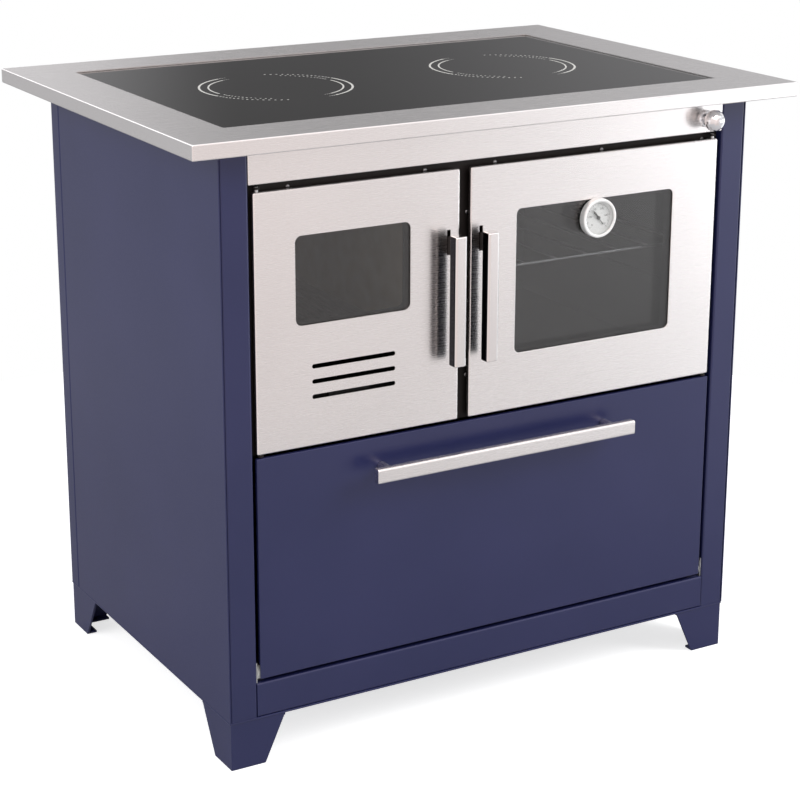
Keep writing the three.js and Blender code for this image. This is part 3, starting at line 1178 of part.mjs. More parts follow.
for (const [endName, end] of [['front', -1], ['rear', 1]]) {
  for (const [sideName, side] of [['left', -1], ['right', 1]]) {
    piece(stove, `foot_${endName}_${sideName}`, foot(side, end), NAVY());
  }
}
piece(stove, 'base_tray', baseTray(), NAVY());
piece(stove, 'kickplate', kickplate(), NAVY());
for (const [sideName, side] of [['left', -1], ['right', 1]]) {
  piece(stove, `post_front_${sideName}`, frontPost(side), NAVY());
  piece(stove, `post_rear_${sideName}`, rearPost(side), NAVY());
  piece(stove, `side_panel_${sideName}`, sidePanel(side), NAVY());
  piece(stove, `drawer_runner_${sideName}`, drawerRunner(side), ZINC());
}
piece(stove, 'back_panel', backPanel(), NAVY());
piece(stove, 'fascia', fascia(), STAINLESS());
piece(stove, 'worktop_frame', worktopFrame(), STAINLESS());
piece(stove, 'hob_glass', hobGlass(), GLASS());
piece(stove, 'hob_support', hobSupport(), BLACK_STEEL());
piece(stove, 'front_frame', frontFrame(), BLACK_STEEL());
piece(stove, 'inner_casing', innerCasing(), BLACK_STEEL());
piece(stove, 'heat_shield', heatShield(), ZINC());
const bricks = brickWalls();
piece(stove, 'firebrick_left', bricks.left, BRICK());
piece(stove, 'firebrick_right', bricks.right, BRICK());
piece(stove, 'firebrick_rear', bricks.rear, BRICK());
piece(stove, 'grate', grate(), CAST_IRON());
piece(stove, 'ash_pan', ashPan(), ZINC());
piece(stove, 'ash_pan_grip', ashPanGrip(), ZINC());
piece(stove, 'oven_box', ovenBox(), ENAMEL());
piece(stove, 'oven_rack', ovenRack(), CHROME());
piece(stove, 'flue_collar', flueCollar(), BLACK_STEEL());
piece(stove, 'damper_rosette', damperRosette(), CHROME());

const damper = assembly(stove, DAMPER_X, FRONT, DAMPER_Z);
piece(damper, 'damper_slide', damperSlide(), ZINC());
piece(damper, 'damper_knob', damperKnob(), CHROME());

const fireDoor = assembly(stove, FIRE_DOOR.axisX, HINGE_Y, DOOR_BOTTOM);
piece(fireDoor, 'fire_door_skin', fireDoorSkin(), STAINLESS());
piece(fireDoor, 'fire_door_liner', fireDoorLiner(), BLACK_STEEL());
piece(fireDoor, 'fire_door_glass', doorGlass(FIRE_WINDOW, FIRE_WINDOW_CORNER, false), GLASS());
piece(fireDoor, 'fire_door_gasket', doorGasket(FIRE_DOOR), ROPE());
piece(fireDoor, 'fire_door_hinge_rod', hingeRod(FIRE_DOOR), ZINC());
const fireLatch = assembly(fireDoor, FIRE_DOOR.latchX, FRONT + LATCH_DEPTH, LATCH_Z);
piece(fireLatch, 'fire_handle_bar', handleBar(FIRE_DOOR), STAINLESS());
piece(fireLatch, 'fire_latch_lever', latchLever(FIRE_DOOR), BLACK_STEEL());

const ovenDoor = assembly(stove, OVEN_DOOR.axisX, HINGE_Y, DOOR_BOTTOM);
piece(ovenDoor, 'oven_door_skin', doorSkin(OVEN_DOOR, OVEN_WINDOW, OVEN_WINDOW_CORNER), STAINLESS());
piece(ovenDoor, 'oven_door_liner', ovenDoorLiner(), BLACK_STEEL());
piece(ovenDoor, 'oven_door_glass', doorGlass(OVEN_WINDOW, OVEN_WINDOW_CORNER, true), GLASS());
piece(ovenDoor, 'oven_door_inner_glass', ovenInnerPane(), GLASS());
piece(ovenDoor, 'oven_door_gasket', doorGasket(OVEN_DOOR), ROPE());
piece(ovenDoor, 'oven_door_hinge_rod', hingeRod(OVEN_DOOR), ZINC());
piece(ovenDoor, 'thermometer_case', thermometerCase(), STAINLESS());
piece(ovenDoor, 'thermometer_dial', thermometerDial(), WHITE());
piece(ovenDoor, 'thermometer_lens', thermometerLens(), GLASS());
const needle = assembly(ovenDoor, THERMOMETER_X, FRONT, THERMOMETER_Z);
piece(needle, 'thermometer_needle', thermometerNeedle(), BLACK_STEEL());
const ovenLatch = assembly(ovenDoor, OVEN_DOOR.latchX, FRONT + LATCH_DEPTH, LATCH_Z);
piece(ovenLatch, 'oven_handle_bar', handleBar(OVEN_DOOR), STAINLESS());
piece(ovenLatch, 'oven_latch_lever', latchLever(OVEN_DOOR), BLACK_STEEL());

const drawer = assembly(stove, 0, FRONT, DRAWER_BOTTOM);
piece(drawer, 'drawer_front', drawerFront(), NAVY());
piece(drawer, 'drawer_box', drawerBox(), BLACK_STEEL());
piece(drawer, 'drawer_pull', drawerPull(), STAINLESS());
for (const [sideName, side] of [['left', -1], ['right', 1]]) {
  const frontY = FRONT + ROLLER_FRONT_SETBACK;
  const rearY = DRAWER_BOX_BACK - ROLLER_REAR_SETBACK;
  const fixed = assembly(stove, side * ROLLER_IN, frontY, ROLLER_Z);
  piece(fixed, `roller_front_${sideName}`, roller(side, frontY), NYLON());
  const carried = assembly(drawer, side * ROLLER_IN, rearY, ROLLER_Z);
  piece(carried, `roller_rear_${sideName}`, roller(side, rearY), NYLON());
}

export default stove;
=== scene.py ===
import math

import bmesh
import bpy
from mathutils import Matrix, Vector


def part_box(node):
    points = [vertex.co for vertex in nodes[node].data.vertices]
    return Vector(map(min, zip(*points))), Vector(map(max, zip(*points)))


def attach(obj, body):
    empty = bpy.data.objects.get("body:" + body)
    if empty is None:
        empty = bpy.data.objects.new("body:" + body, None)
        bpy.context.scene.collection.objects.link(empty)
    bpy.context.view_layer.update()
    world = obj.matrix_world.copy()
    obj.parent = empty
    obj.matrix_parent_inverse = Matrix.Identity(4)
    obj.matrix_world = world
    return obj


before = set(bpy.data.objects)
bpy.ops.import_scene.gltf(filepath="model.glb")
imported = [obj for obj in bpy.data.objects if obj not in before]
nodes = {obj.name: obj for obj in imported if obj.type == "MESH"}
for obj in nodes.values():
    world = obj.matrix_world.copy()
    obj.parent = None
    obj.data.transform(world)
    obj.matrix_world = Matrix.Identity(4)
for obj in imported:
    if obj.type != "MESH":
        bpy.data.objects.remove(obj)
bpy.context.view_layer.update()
scene = bpy.context.scene

# ---------------------------------------------------------------- camera
# The camera stands to the left of the stove, a little above the worktop, with the
# picture shifted slightly so that the upright edges stay close to upright.
PICTURE = 800
FOCAL_PIXELS = 2121.3
SENSOR_WIDTH = 36.0
CENTRE_ROW = 345
CAMERA_PLACE = (-1.4766, -2.5660, 1.3348)
VIEW_AZIMUTH = math.radians(30.113)
VIEW_DOWN = math.radians(16.552)
VIEW_ROLL = math.radians(0.138)
forward = Vector((
    math.sin(VIEW_AZIMUTH) * math.cos(VIEW_DOWN),
    math.cos(VIEW_AZIMUTH) * math.cos(VIEW_DOWN),
    -math.sin(VIEW_DOWN),
))
level = forward.cross(Vector((0, 0, 1))).normalized()
upright = level.cross(forward)
right = level * math.cos(VIEW_ROLL) + upright * math.sin(VIEW_ROLL)
up = upright * math.cos(VIEW_ROLL) - level * math.sin(VIEW_ROLL)
camera_data = bpy.data.cameras.new("camera")
camera_data.sensor_width = SENSOR_WIDTH
camera_data.lens = SENSOR_WIDTH * FOCAL_PIXELS / PICTURE
camera_data.shift_y = (CENTRE_ROW - PICTURE / 2) / PICTURE
camera_data.clip_end = 60
camera = bpy.data.objects.new("camera", camera_data)
scene.collection.objects.link(camera)
camera.matrix_world = Matrix.Translation(CAMERA_PLACE) @ Matrix((right, up, -forward)).transposed().to_4x4()
scene.camera = camera

# ---------------------------------------------------------------- studio
# A white sweep, two soft lamps and a surround that only the shiny pieces mirror: a bright
# card to the front right, a pale ceiling, and a dimmer room at the front left.
scene.view_settings.view_transform = "Standard"
# How bright each part of the surround is.
MIRRORED_FRONT = 0.78
MIRRORED_HIGH = 0.17
MIRRORED_CARD = 0.48
MIRRORED_CORE = 3.4
MIRRORED_BACK = 0.16
MIRRORED_BACK_CARD = 0.26
MIRRORED_BACK_LEFT = 0.33
MIRRORED_SWEEP = 1.0
MIRRORED_LEFT = 0.46
MIRRORED_CEILING = 0.92
MIRRORED_ROOM = 0.70
MIRRORED_REAR = 1.5
# Where each part fades in, as a share of the unit direction towards it.
HIGH_Z = (-0.32, -0.20)
BELOW_TOP_Z = (0.02, -0.12)
CARD_X = (0.49, 0.66)
CARD_Z = (-0.30, -0.20)
CORE_X = (0.58, 0.66)
CORE_Z = (-0.21, -0.16)
BACK_CARD_X = (0.46, 0.66)
BACK_LEFT_X = (0.43, 0.34)
BACK_LEFT_END_X = (0.0, 0.2)
SWEEP_X = (0.62, 0.80)
SWEEP_Z = (0.08, -0.06)
AHEAD_Y = (0.15, -0.35)
CEILING_Z = (0.22, 0.64)
LEFT_WALL_X = (0.10, -0.45)
REAR_X = (0.15, -0.10)
REAR_END_X = (-0.50, -0.30)
REAR_Z = (0.12, 0.32)
ROOM_X = (-0.38, -0.05)
ROOM_Y = (-0.50, -0.10)
COOL_X = (0.26, 0.74)
COOL_Y = (-0.45, 0.05)
COOL_BEHIND = 0.85
LIGHTING_STRENGTH = 0.55
WARM = (1.0, 0.882, 0.858, 1)
COOL = (0.96, 0.97, 1.0, 1)
WHITE = (1, 1, 1, 1)
FLOOR_RADIUS = 1.5
FLOOR_DROP = 0.0006
FLOOR_WHITE = (0.80, 0.80, 0.80, 1)
FLOOR_MIRRORED = (0.60, 0.59, 0.60, 1)
FLOOR_GLOW = 0.70


def add_node(tree, kind, **settings):
    made = tree.nodes.new(kind)
    for key, value in settings.items():
        setattr(made, key, value)
    return made


def maths(tree, operation, first, second):
    """One arithmetic node; each input is a socket or a number."""
    made = add_node(tree, "ShaderNodeMath", operation=operation)
    for slot, value in enumerate((first, second)):
        if isinstance(value, (int, float)):
            made.inputs[slot].default_value = value
        else:
            tree.links.new(value, made.inputs[slot])
    return made.outputs[0]


def smooth_step(tree, value, start, end, low=0.0, high=1.0):
    made = add_node(tree, "ShaderNodeMapRange", interpolation_type="SMOOTHSTEP")
    for label, number in (("From Min", start), ("From Max", end), ("To Min", low), ("To Max", high)):
        made.inputs[label].default_value = number
    tree.links.new(value, made.inputs["Value"])
    return made.outputs["Result"]


def build_surround():
    world = bpy.data.worlds.new("surround")
    scene.world = world
    world.use_nodes = True
    tree = world.node_tree
    tree.nodes.clear()
    out = add_node(tree, "ShaderNodeOutputWorld")
    seen = add_node(tree, "ShaderNodeBackground")
    seen.inputs["Color"].default_value = WHITE
    seen.inputs["Strength"].default_value = 1.0
    lighting = add_node(tree, "ShaderNodeBackground")
    lighting.inputs["Color"].default_value = WHITE
    lighting.inputs["Strength"].default_value = LIGHTING_STRENGTH
    mirrored = add_node(tree, "ShaderNodeBackground")
    path = add_node(tree, "ShaderNodeLightPath")
    towards = add_node(tree, "ShaderNodeTexCoord")
    parts = add_node(tree, "ShaderNodeSeparateXYZ")
    tree.links.new(towards.outputs["Generated"], parts.inputs[0])
    x, y, z = parts.outputs["X"], parts.outputs["Y"], parts.outputs["Z"]

    def product(*factors):
        result = factors[0]
        for factor in factors[1:]:
            result = maths(tree, "MULTIPLY", result, factor)
        return result

    def total(*terms):
        result = terms[0]
        for term in terms[1:]:
            result = maths(tree, "ADD", result, term)
        return result

    high = smooth_step(tree, z, *HIGH_Z, 0.0, MIRRORED_HIGH)
    below_top = smooth_step(tree, z, *BELOW_TOP_Z)
    card = product(smooth_step(tree, x, *CARD_X, 0.0, MIRRORED_CARD), smooth_step(tree, z, *CARD_Z))
    core = product(smooth_step(tree, x, *CORE_X, 0.0, MIRRORED_CORE), smooth_step(tree, z, *CORE_Z))
    in_front = total(high, product(total(card, core), below_top), MIRRORED_FRONT)
    back_card = smooth_step(tree, x, *BACK_CARD_X, 0.0, MIRRORED_BACK_CARD)
    back_left = product(
        smooth_step(tree, x, *BACK_LEFT_X, 0.0, MIRRORED_BACK_LEFT), smooth_step(tree, x, *BACK_LEFT_END_X))
    sweep = product(smooth_step(tree, x, *SWEEP_X, 0.0, MIRRORED_SWEEP), smooth_step(tree, z, *SWEEP_Z))
    in_back = total(back_card, back_left, sweep, MIRRORED_BACK)
    ahead = smooth_step(tree, y, *AHEAD_Y)
    ceiling = smooth_step(tree, z, *CEILING_Z, 0.0, MIRRORED_CEILING)
    left_wall = smooth_step(tree, x, *LEFT_WALL_X, 0.0, MIRRORED_LEFT)
    rear_light = product(
        smooth_step(tree, x, *REAR_X, 0.0, MIRRORED_REAR), smooth_step(tree, x, *REAR_END_X),
        smooth_step(tree, z, *REAR_Z))
    level = total(
        rear_light, product(in_front, ahead), product(in_back, maths(tree, "SUBTRACT", 1.0, ahead)), ceiling, left_wall)
    beside = smooth_step(tree, x, *ROOM_X, MIRRORED_ROOM, 1.0)
    behind = smooth_step(tree, y, *ROOM_Y, MIRRORED_ROOM, 1.0)
    outside_room = maths(tree, "MAXIMUM", beside, behind)
    tree.links.new(product(level, outside_room), mirrored.inputs["Strength"])
    tint = add_node(tree, "ShaderNodeMix", data_type="RGBA")
    tint.inputs["A"].default_value = WARM
    tint.inputs["B"].default_value = COOL
    cooler = maths(
        tree, "MAXIMUM", smooth_step(tree, x, *COOL_X), smooth_step(tree, y, *COOL_Y, 0.0, COOL_BEHIND))
    tree.links.new(cooler, tint.inputs["Factor"])
    tree.links.new(tint.outputs["Result"], mirrored.inputs["Color"])

    pick_mirror = add_node(tree, "ShaderNodeMixShader")
    tree.links.new(path.outputs["Is Glossy Ray"], pick_mirror.inputs["Fac"])
    tree.links.new(lighting.outputs[0], pick_mirror.inputs[1])
    tree.links.new(mirrored.outputs[0], pick_mirror.inputs[2])
    plain = maths(tree, "MAXIMUM", path.outputs["Is Camera Ray"], path.outputs["Is Transmission Ray"])
    pick_white = add_node(tree, "ShaderNodeMixShader")
    tree.links.new(plain, pick_white.inputs["Fac"])
    tree.links.new(pick_mirror.outputs[0], pick_white.inputs[1])
    tree.links.new(seen.outputs[0], pick_white.inputs[2])
    tree.links.new(pick_white.outputs[0], out.inputs["Surface"])


build_surround()

floor_mesh = bpy.data.meshes.new("floor")
floor_shape = bmesh.new()
bmesh.ops.create_circle(floor_shape, cap_ends=True, segments=64, radius=FLOOR_RADIUS)
bmesh.ops.translate(floor_shape, verts=floor_shape.verts, vec=(0, 0, -FLOOR_DROP))
floor_shape.to_mesh(floor_mesh)
floor_shape.free()
floor = bpy.data.objects.new("floor", floor_mesh)
scene.collection.objects.link(floor)
floor_paint = bpy.data.materials.new("floor_paint")
floor_paint.use_nodes = True
floor_tree = floor_paint.node_tree
floor_tree.nodes.clear()
floor_out = add_node(floor_tree, "ShaderNodeOutputMaterial")
floor_diffuse = add_node(floor_tree, "ShaderNodeBsdfDiffuse")
floor_diffuse.inputs["Color"].default_value = FLOOR_WHITE
floor_glow = add_node(floor_tree, "ShaderNodeEmission")
floor_glow.inputs["Color"].default_value = WHITE
floor_glow.inputs["Strength"].default_value = FLOOR_GLOW
floor_both = add_node(floor_tree, "ShaderNodeAddShader")
floor_clear = add_node(floor_tree, "ShaderNodeMixShader")
floor_path = add_node(floor_tree, "ShaderNodeLightPath")
floor_dim = add_node(floor_tree, "ShaderNodeBsdfDiffuse")
floor_dim.inputs["Color"].default_value = FLOOR_MIRRORED
floor_mirrored = add_node(floor_tree, "ShaderNodeMixShader")
floor_tree.links.new(floor_path.outputs["Is Glossy Ray"], floor_mirrored.inputs["Fac"])
floor_tree.links.new(floor_diffuse.outputs[0], floor_mirrored.inputs[1])
floor_tree.links.new(floor_dim.outputs[0], floor_mirrored.inputs[2])
floor_tree.links.new(floor_diffuse.outputs[0], floor_both.inputs[0])
floor_tree.links.new(floor_glow.outputs[0], floor_both.inputs[1])
floor_tree.links.new(floor_path.outputs["Is Camera Ray"], floor_clear.inputs["Fac"])
floor_tree.links.new(floor_mirrored.outputs[0], floor_clear.inputs[1])
floor_tree.links.new(floor_both.outputs[0], floor_clear.inputs[2])
floor_tree.links.new(floor_clear.outputs[0], floor_out.inputs["Surface"])
floor_mesh.materials.append(floor_paint)


def soft_lamp(name, place, aim, size, watts):
    data = bpy.data.lights.new(name, "AREA")
    data.shape = "DISK"
    data.size = size
    data.energy = watts
    lamp = bpy.data.objects.new(name, data)
    lamp.location = place
    lamp.rotation_mode = "QUATERNION"
    lamp.rotation_quaternion = (Vector(aim) - Vector(place)).to_track_quat("-Z", "Y")
    lamp.visible_glossy = False
    scene.collection.objects.link(lamp)


soft_lamp("key_lamp", (2.6, -2.6, 2.6), (0, 0, 0.45), 2.2, 95)
soft_lamp("fill_lamp", (-3.0, -0.6, 1.9), (0, 0, 0.4), 2.4, 50)

# ---------------------------------------------------------------- navy body
# Feet, posts, side and back panels, kickplate and drawer front are folded steel sheet,
# powder-coated satin navy. The coat shows a fine orange peel and slight cloudiness.
NAVY = (0.0155, 0.0190, 0.0770, 1)
NAVY_CLOUD = (0.0195, 0.0225, 0.0860, 1)
BODY_NODES = [
    "foot_front_left", "foot_front_right", "foot_rear_left", "foot_rear_right", "base_tray", "kickplate",
    "post_front_left", "post_front_right", "post_rear_left", "post_rear_right", "side_panel_left",
    "side_panel_right", "back_panel", "drawer_front",
]


def effect_group(name, sockets):
    group = bpy.data.node_groups.new(name, "ShaderNodeTree")
    for label, side, kind, value in sockets:
        socket = group.interface.new_socket(name=label, in_out=side, socket_type=kind)
        if value is not None:
            socket.default_value = value
    return group, group.nodes.new("NodeGroupInput"), group.nodes.new("NodeGroupOutput")


def build_cloud_group():
    group, inlet, outlet = effect_group("cloud_and_grain", [
        ("Grain Stretch", "INPUT", "NodeSocketVector", (900, 900, 900)),
        ("Cloud Size", "INPUT", "NodeSocketFloat", 6.0),
        ("Grain", "OUTPUT", "NodeSocketFloat", None),
        ("Cloud", "OUTPUT", "NodeSocketFloat", None),
    ])
    where = group.nodes.new("ShaderNodeTexCoord")
    stretch = group.nodes.new("ShaderNodeVectorMath")
    stretch.operation = "MULTIPLY"
    fine = group.nodes.new("ShaderNodeTexNoise")
    fine.inputs["Scale"].default_value = 1.0
    fine.inputs["Detail"].default_value = 3.0
    fine.inputs["Roughness"].default_value = 0.6
    cloud = group.nodes.new("ShaderNodeTexNoise")
    cloud.inputs["Detail"].default_value = 3.0
    group.links.new(where.outputs["Object"], stretch.inputs[0])
    group.links.new(inlet.outputs["Grain Stretch"], stretch.inputs[1])
    group.links.new(stretch.outputs["Vector"], fine.inputs["Vector"])
    group.links.new(where.outputs["Object"], cloud.inputs["Vector"])
    group.links.new(inlet.outputs["Cloud Size"], cloud.inputs["Scale"])
    group.links.new(fine.outputs["Fac"], outlet.inputs["Grain"])
    group.links.new(cloud.outputs["Fac"], outlet.inputs["Cloud"])
    return group


CLOUD_AND_GRAIN = build_cloud_group()


def surface(name, colour, cloud_colour, metallic, rough, stretch, cloud_size, bump, depth=0.0001):
    """A material whose colour, gloss and relief all vary with cloud and grain."""
    material = bpy.data.materials.new(name)
    material.use_nodes = True
    tree = material.node_tree
    shader = tree.nodes["Principled BSDF"]
    effect = add_node(tree, "ShaderNodeGroup", node_tree=CLOUD_AND_GRAIN)
    effect.inputs["Grain Stretch"].default_value = stretch
    effect.inputs["Cloud Size"].default_value = cloud_size
    tone = add_node(tree, "ShaderNodeMix", data_type="RGBA")
    tone.inputs["A"].default_value = colour
    tone.inputs["B"].default_value = cloud_colour
    spread = add_node(tree, "ShaderNodeMapRange")
    spread.inputs["From Min"].default_value = 0.3
    spread.inputs["From Max"].default_value = 0.7
    gloss = add_node(tree, "ShaderNodeMapRange")
    gloss.inputs["From Min"].default_value = 0.3
    gloss.inputs["From Max"].default_value = 0.7
    gloss.inputs["To Min"].default_value = rough[0]
    gloss.inputs["To Max"].default_value = rough[1]
    relief = add_node(tree, "ShaderNodeBump")
    relief.inputs["Strength"].default_value = bump
    relief.inputs["Distance"].default_value = depth
    tree.links.new(effect.outputs["Cloud"], spread.inputs["Value"])
    tree.links.new(spread.outputs["Result"], tone.inputs["Factor"])
    tree.links.new(tone.outputs["Result"], shader.inputs["Base Color"])
    tree.links.new(effect.outputs["Grain"], gloss.inputs["Value"])
    tree.links.new(gloss.outputs["Result"], shader.inputs["Roughness"])
    tree.links.new(effect.outputs["Grain"], relief.inputs["Height"])
    tree.links.new(relief.outputs["Normal"], shader.inputs["Normal"])
    shader.inputs["Metallic"].default_value = metallic
    return material, shader


def dress(names, material):
    for name in names:
        mesh = nodes[name].data
        mesh.materials.clear()
        mesh.materials.append(material)


navy_paint = surface(
    "navy_paint", NAVY, NAVY_CLOUD, 0.0, (0.30, 0.38), (900, 900, 900), 7.0, 0.10, 0.00004)[0]
dress(BODY_NODES, navy_paint)

# ---------------------------------------------------------------- stainless steel
# The worktop rim, fascia, door skins and handle bars are stainless steel with a fine
# brushed grain. It runs along each piece's long side and pulls reflections across it.
# Folded edges are slightly round, so that they catch the light. The handle bars' sides and back carry a painted dark
# reflection.
STEEL = (0.800, 0.780, 0.770, 1)
STEEL_CLOUD = (0.830, 0.810, 0.800, 1)
# Near-black painted on the handle bars' sides and back: a painted reflection of the dark room they mirror, not a finish
# the steel has.
PAINTED_DARK_REFLECTION = (0.016, 0.017, 0.024, 1)


def brushed(name, across, rough, stretch, pull, bar=None):
    """Steel whose reflections are drawn out across its grain. A bar's sides and back get a painted dark reflection in
    near-black.
    """
    material, shader = surface(name, STEEL, STEEL_CLOUD, 1.0, rough, stretch, 5.0, 0.015, 0.00002)
    tree = material.node_tree
    draw_out = add_node(tree, "ShaderNodeCombineXYZ")
    for axis, value in zip("XYZ", across):
        draw_out.inputs[axis].default_value = value
    turned = add_node(
        tree, "ShaderNodeVectorTransform", vector_type="VECTOR", convert_from="OBJECT", convert_to="WORLD")
    tree.links.new(draw_out.outputs[0], turned.inputs[0])
    tree.links.new(turned.outputs[0], shader.inputs["Tangent"])
    shader.inputs["Anisotropic"].default_value = pull
    # Painted reflection: faces within BAR_FACE of the bar's sides and back are coloured near-black, standing in for the
    # dark room they mirror.
    if bar is not None:
        low, high = bar
        where = add_node(tree, "ShaderNodeTexCoord")
        parts = add_node(tree, "ShaderNodeSeparateXYZ")
        tree.links.new(where.outputs["Object"], parts.inputs[0])
        left = maths(tree, "LESS_THAN", parts.outputs["X"], low.x + BAR_FACE)
        right = maths(tree, "GREATER_THAN", parts.outputs["X"], high.x - BAR_FACE)
        behind = maths(tree, "GREATER_THAN", parts.outputs["Y"], high.y - BAR_FACE)
        painted_reflection_faces = maths(tree, "MAXIMUM", maths(tree, "MAXIMUM", left, right), behind)
        shade = add_node(tree, "ShaderNodeMix", data_type="RGBA")
        shade.inputs["B"].default_value = PAINTED_DARK_REFLECTION
        tree.links.new(painted_reflection_faces, shade.inputs["Factor"])
        tree.links.new(shader.inputs["Base Color"].links[0].from_socket, shade.inputs["A"])
        tree.links.new(shade.outputs["Result"], shader.inputs["Base Color"])
    return material


def soften(names, width, segments=2):
    """Rounds a CAD node's sharp edges a little, so that they catch the light as folded sheet does."""
    for name in names:
        piece = nodes[name]
        weld = piece.modifiers.new("weld", "WELD")
        weld.merge_threshold = 0.00001
        flat = piece.modifiers.new("flat", "DECIMATE")
        flat.decimate_type = "DISSOLVE"
        flat.angle_limit = math.radians(0.5)
        edge = piece.modifiers.new("edge", "BEVEL")
        edge.width = width
        edge.segments = segments
        edge.limit_method = "ANGLE"
        edge.angle_limit = math.radians(40)
        edge.use_clamp_overlap = True


BAR_FACE = 0.0006
RIM_EDGE = 0.0014
SHEET_EDGE = 0.0007
DOOR_EDGE = 0.0013
BAR_EDGE = 0.0010
brushed_across = brushed("brushed_steel_across", (0, 0.6, 1), (0.25, 0.29), (25, 3500, 3500), 0.7)
dress(["worktop_frame", "fascia", "fire_door_skin", "oven_door_skin", "drawer_pull"], brushed_across)
for bar_name in ("fire_handle_bar", "oven_handle_bar"):
    dress([bar_name], brushed(
        "brushed_" + bar_name, (1, 1, 0), (0.13, 0.18), (3500, 3500, 25), 0.5, bar=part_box(bar_name)))
soften(["worktop_frame"], RIM_EDGE, 3)
soften(["fascia", "drawer_front"], SHEET_EDGE)
soften(["fire_door_skin", "oven_door_skin"], DOOR_EDGE, 3)
soften(["fire_handle_bar", "oven_handle_bar", "drawer_pull"], BAR_EDGE)

# ---------------------------------------------------------------- hob glass
# One sheet of black glass-ceramic lies flush in the rim. Two cooking zones are printed on it
# in white: a pair of rings each, solid at the sides and breaking up into dots.
hob_ceramic, hob_shader = surface(
    "hob_ceramic", (0.010, 0.009, 0.008, 1), (0.013, 0.012, 0.011, 1), 0.0, (0.05, 0.08),
    (200, 200, 200), 4.0, 0.01)
hob_shader.inputs["IOR"].default_value = 1.56
dress(["hob_glass"], hob_ceramic)

HOB_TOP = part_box("hob_glass")[1].z
PRINT_FILM = 0.00006
RING_OUTER = 0.1046
RING_INNER = 0.0920
RING_LINE = 0.0030
print_white = surface(
    "print_white", (0.80, 0.79, 0.76, 1), (0.70, 0.69, 0.66, 1), 0.0, (0.35, 0.5), (900, 900, 900), 60.0, 0.02)[0]


def new_piece(name, shape, material, body):
    mesh = bpy.data.meshes.new(name)
    shape.to_mesh(mesh)
    shape.free()
    mesh.materials.append(material)
    piece = bpy.data.objects.new(name, mesh)
    scene.collection.objects.link(piece)
    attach(piece, body)
    return piece


def arc_line(shape, radius, width, start, end):
    """A flat printed line along an arc about the origin, from one angle to another in degrees."""
    a = math.radians(start)
    inner = shape.verts.new(((radius - width / 2) * math.cos(a), (radius - width / 2) * math.sin(a), 0))
    outer = shape.verts.new(((radius + width / 2) * math.cos(a), (radius + width / 2) * math.sin(a), 0))
    edge = shape.edges.new((inner, outer))
    bmesh.ops.spin(
        shape, geom=[inner, outer, edge], cent=(0, 0, 0), axis=(0, 0, 1), angle=math.radians(end - start),
        steps=max(4, int(abs(end - start) / 3)), use_merge=False)


def ring_dot(shape, radius, angle, size):
    a = math.radians(angle)
    bmesh.ops.create_circle(
        shape, cap_ends=True, segments=10, radius=size / 2,
        matrix=Matrix.Translation((radius * math.cos(a), radius * math.sin(a), 0)))


def hob_ring(name, x, y):
    shape = bmesh.new()
    for turn in (0, 180):
        arc_line(shape, RING_OUTER, RING_LINE, turn + 113, turn + 196)
        arc_line(shape, RING_INNER, RING_LINE * 0.8, turn + 116, turn + 188)
        for i in range(3):
            ring_dot(shape, RING_OUTER, turn + 111.2 - i * 2.4, 0.0024 - i * 0.0003)
            ring_dot(shape, RING_INNER, turn + 114.0 - i * 2.6, 0.0020 - i * 0.0002)
        for i in range(15):
            along = i / 14
            angle = 198.5 + 53.5 * (0.75 * along + 0.25 * along * along)
            ring_dot(shape, RING_OUTER - 0.0012 * along, turn + angle, 0.0032)
            if i < 13:
                ring_dot(shape, RING_INNER + 0.0012 * along, turn + angle - 3.5, 0.0028)
    bmesh.ops.translate(shape, verts=shape.verts, vec=(x, y, HOB_TOP + PRINT_FILM))
    bmesh.ops.recalc_face_normals(shape, faces=shape.faces)
    if sum(f.normal.z for f in shape.faces) < 0:
        bmesh.ops.reverse_faces(shape, faces=shape.faces)
    new_piece(name, shape, print_white, "cabinet")


hob_ring("hob_ring_left", -0.183, 0.003)
hob_ring("hob_ring_right", 0.183, 0.003)

# ---------------------------------------------------------------- black inner steel
# Frame behind the doors, casing, door liners, latches and flue collar are welded steel plate
# under matt black stove paint, which chalks a little and shows the plate's roughness.
black_paint, black_shader = surface(
    "black_stove_paint", (0.009, 0.0065, 0.006, 1), (0.014, 0.011, 0.010, 1), 0.0, (0.45, 0.60),
    (700, 700, 700), 14.0, 0.25, 0.0001)
dress([
    "front_frame", "inner_casing", "hob_support", "fire_door_liner", "oven_door_liner", "fire_latch_lever",
    "oven_latch_lever", "flue_collar", "drawer_box",
], black_paint)
black_shader.inputs["Specular IOR Level"].default_value = 0.22

# ---------------------------------------------------------------- zinc-plated sheet and rods
# Hinge rods, runners, heat shield and damper slide are bright zinc-plated steel with the
# mottled bloom that plating has.
zinc_plate = surface(
    "zinc_plate", (0.42, 0.43, 0.44, 1), (0.60, 0.61, 0.61, 1), 1.0, (0.28, 0.46), (260, 260, 260), 45.0, 0.05)[0]
dress([
    "heat_shield", "damper_slide", "fire_door_hinge_rod", "oven_door_hinge_rod",
    "drawer_runner_left", "drawer_runner_right",
], zinc_plate)

# ---------------------------------------------------------------- fire side: bricks and grate
# The firebox is lined with buff vermiculite slabs round a grey cast-iron grate. The ash pan
# below it is sheet steel, coloured as dark as the grate: painted shade for the dim space behind the slots.
brick = surface(
    "firebrick", (0.55, 0.44, 0.30, 1), (0.66, 0.56, 0.42, 1), 0.0, (0.85, 0.98), (260, 260, 260), 40.0, 0.5,
    0.0006)[0]
dress(["firebrick_left", "firebrick_right", "firebrick_rear"], brick)
casting = surface(
    "cast_iron", (0.030, 0.030, 0.031, 1), (0.055, 0.052, 0.050, 1), 0.6, (0.55, 0.75), (500, 500, 500), 25.0,
    0.5, 0.0004)[0]
# Painted shade: the ash pan and its grip take this dark cast-iron colour, so that they stay dark behind the slots.
dress(["grate", "ash_pan", "ash_pan_grip"], casting)

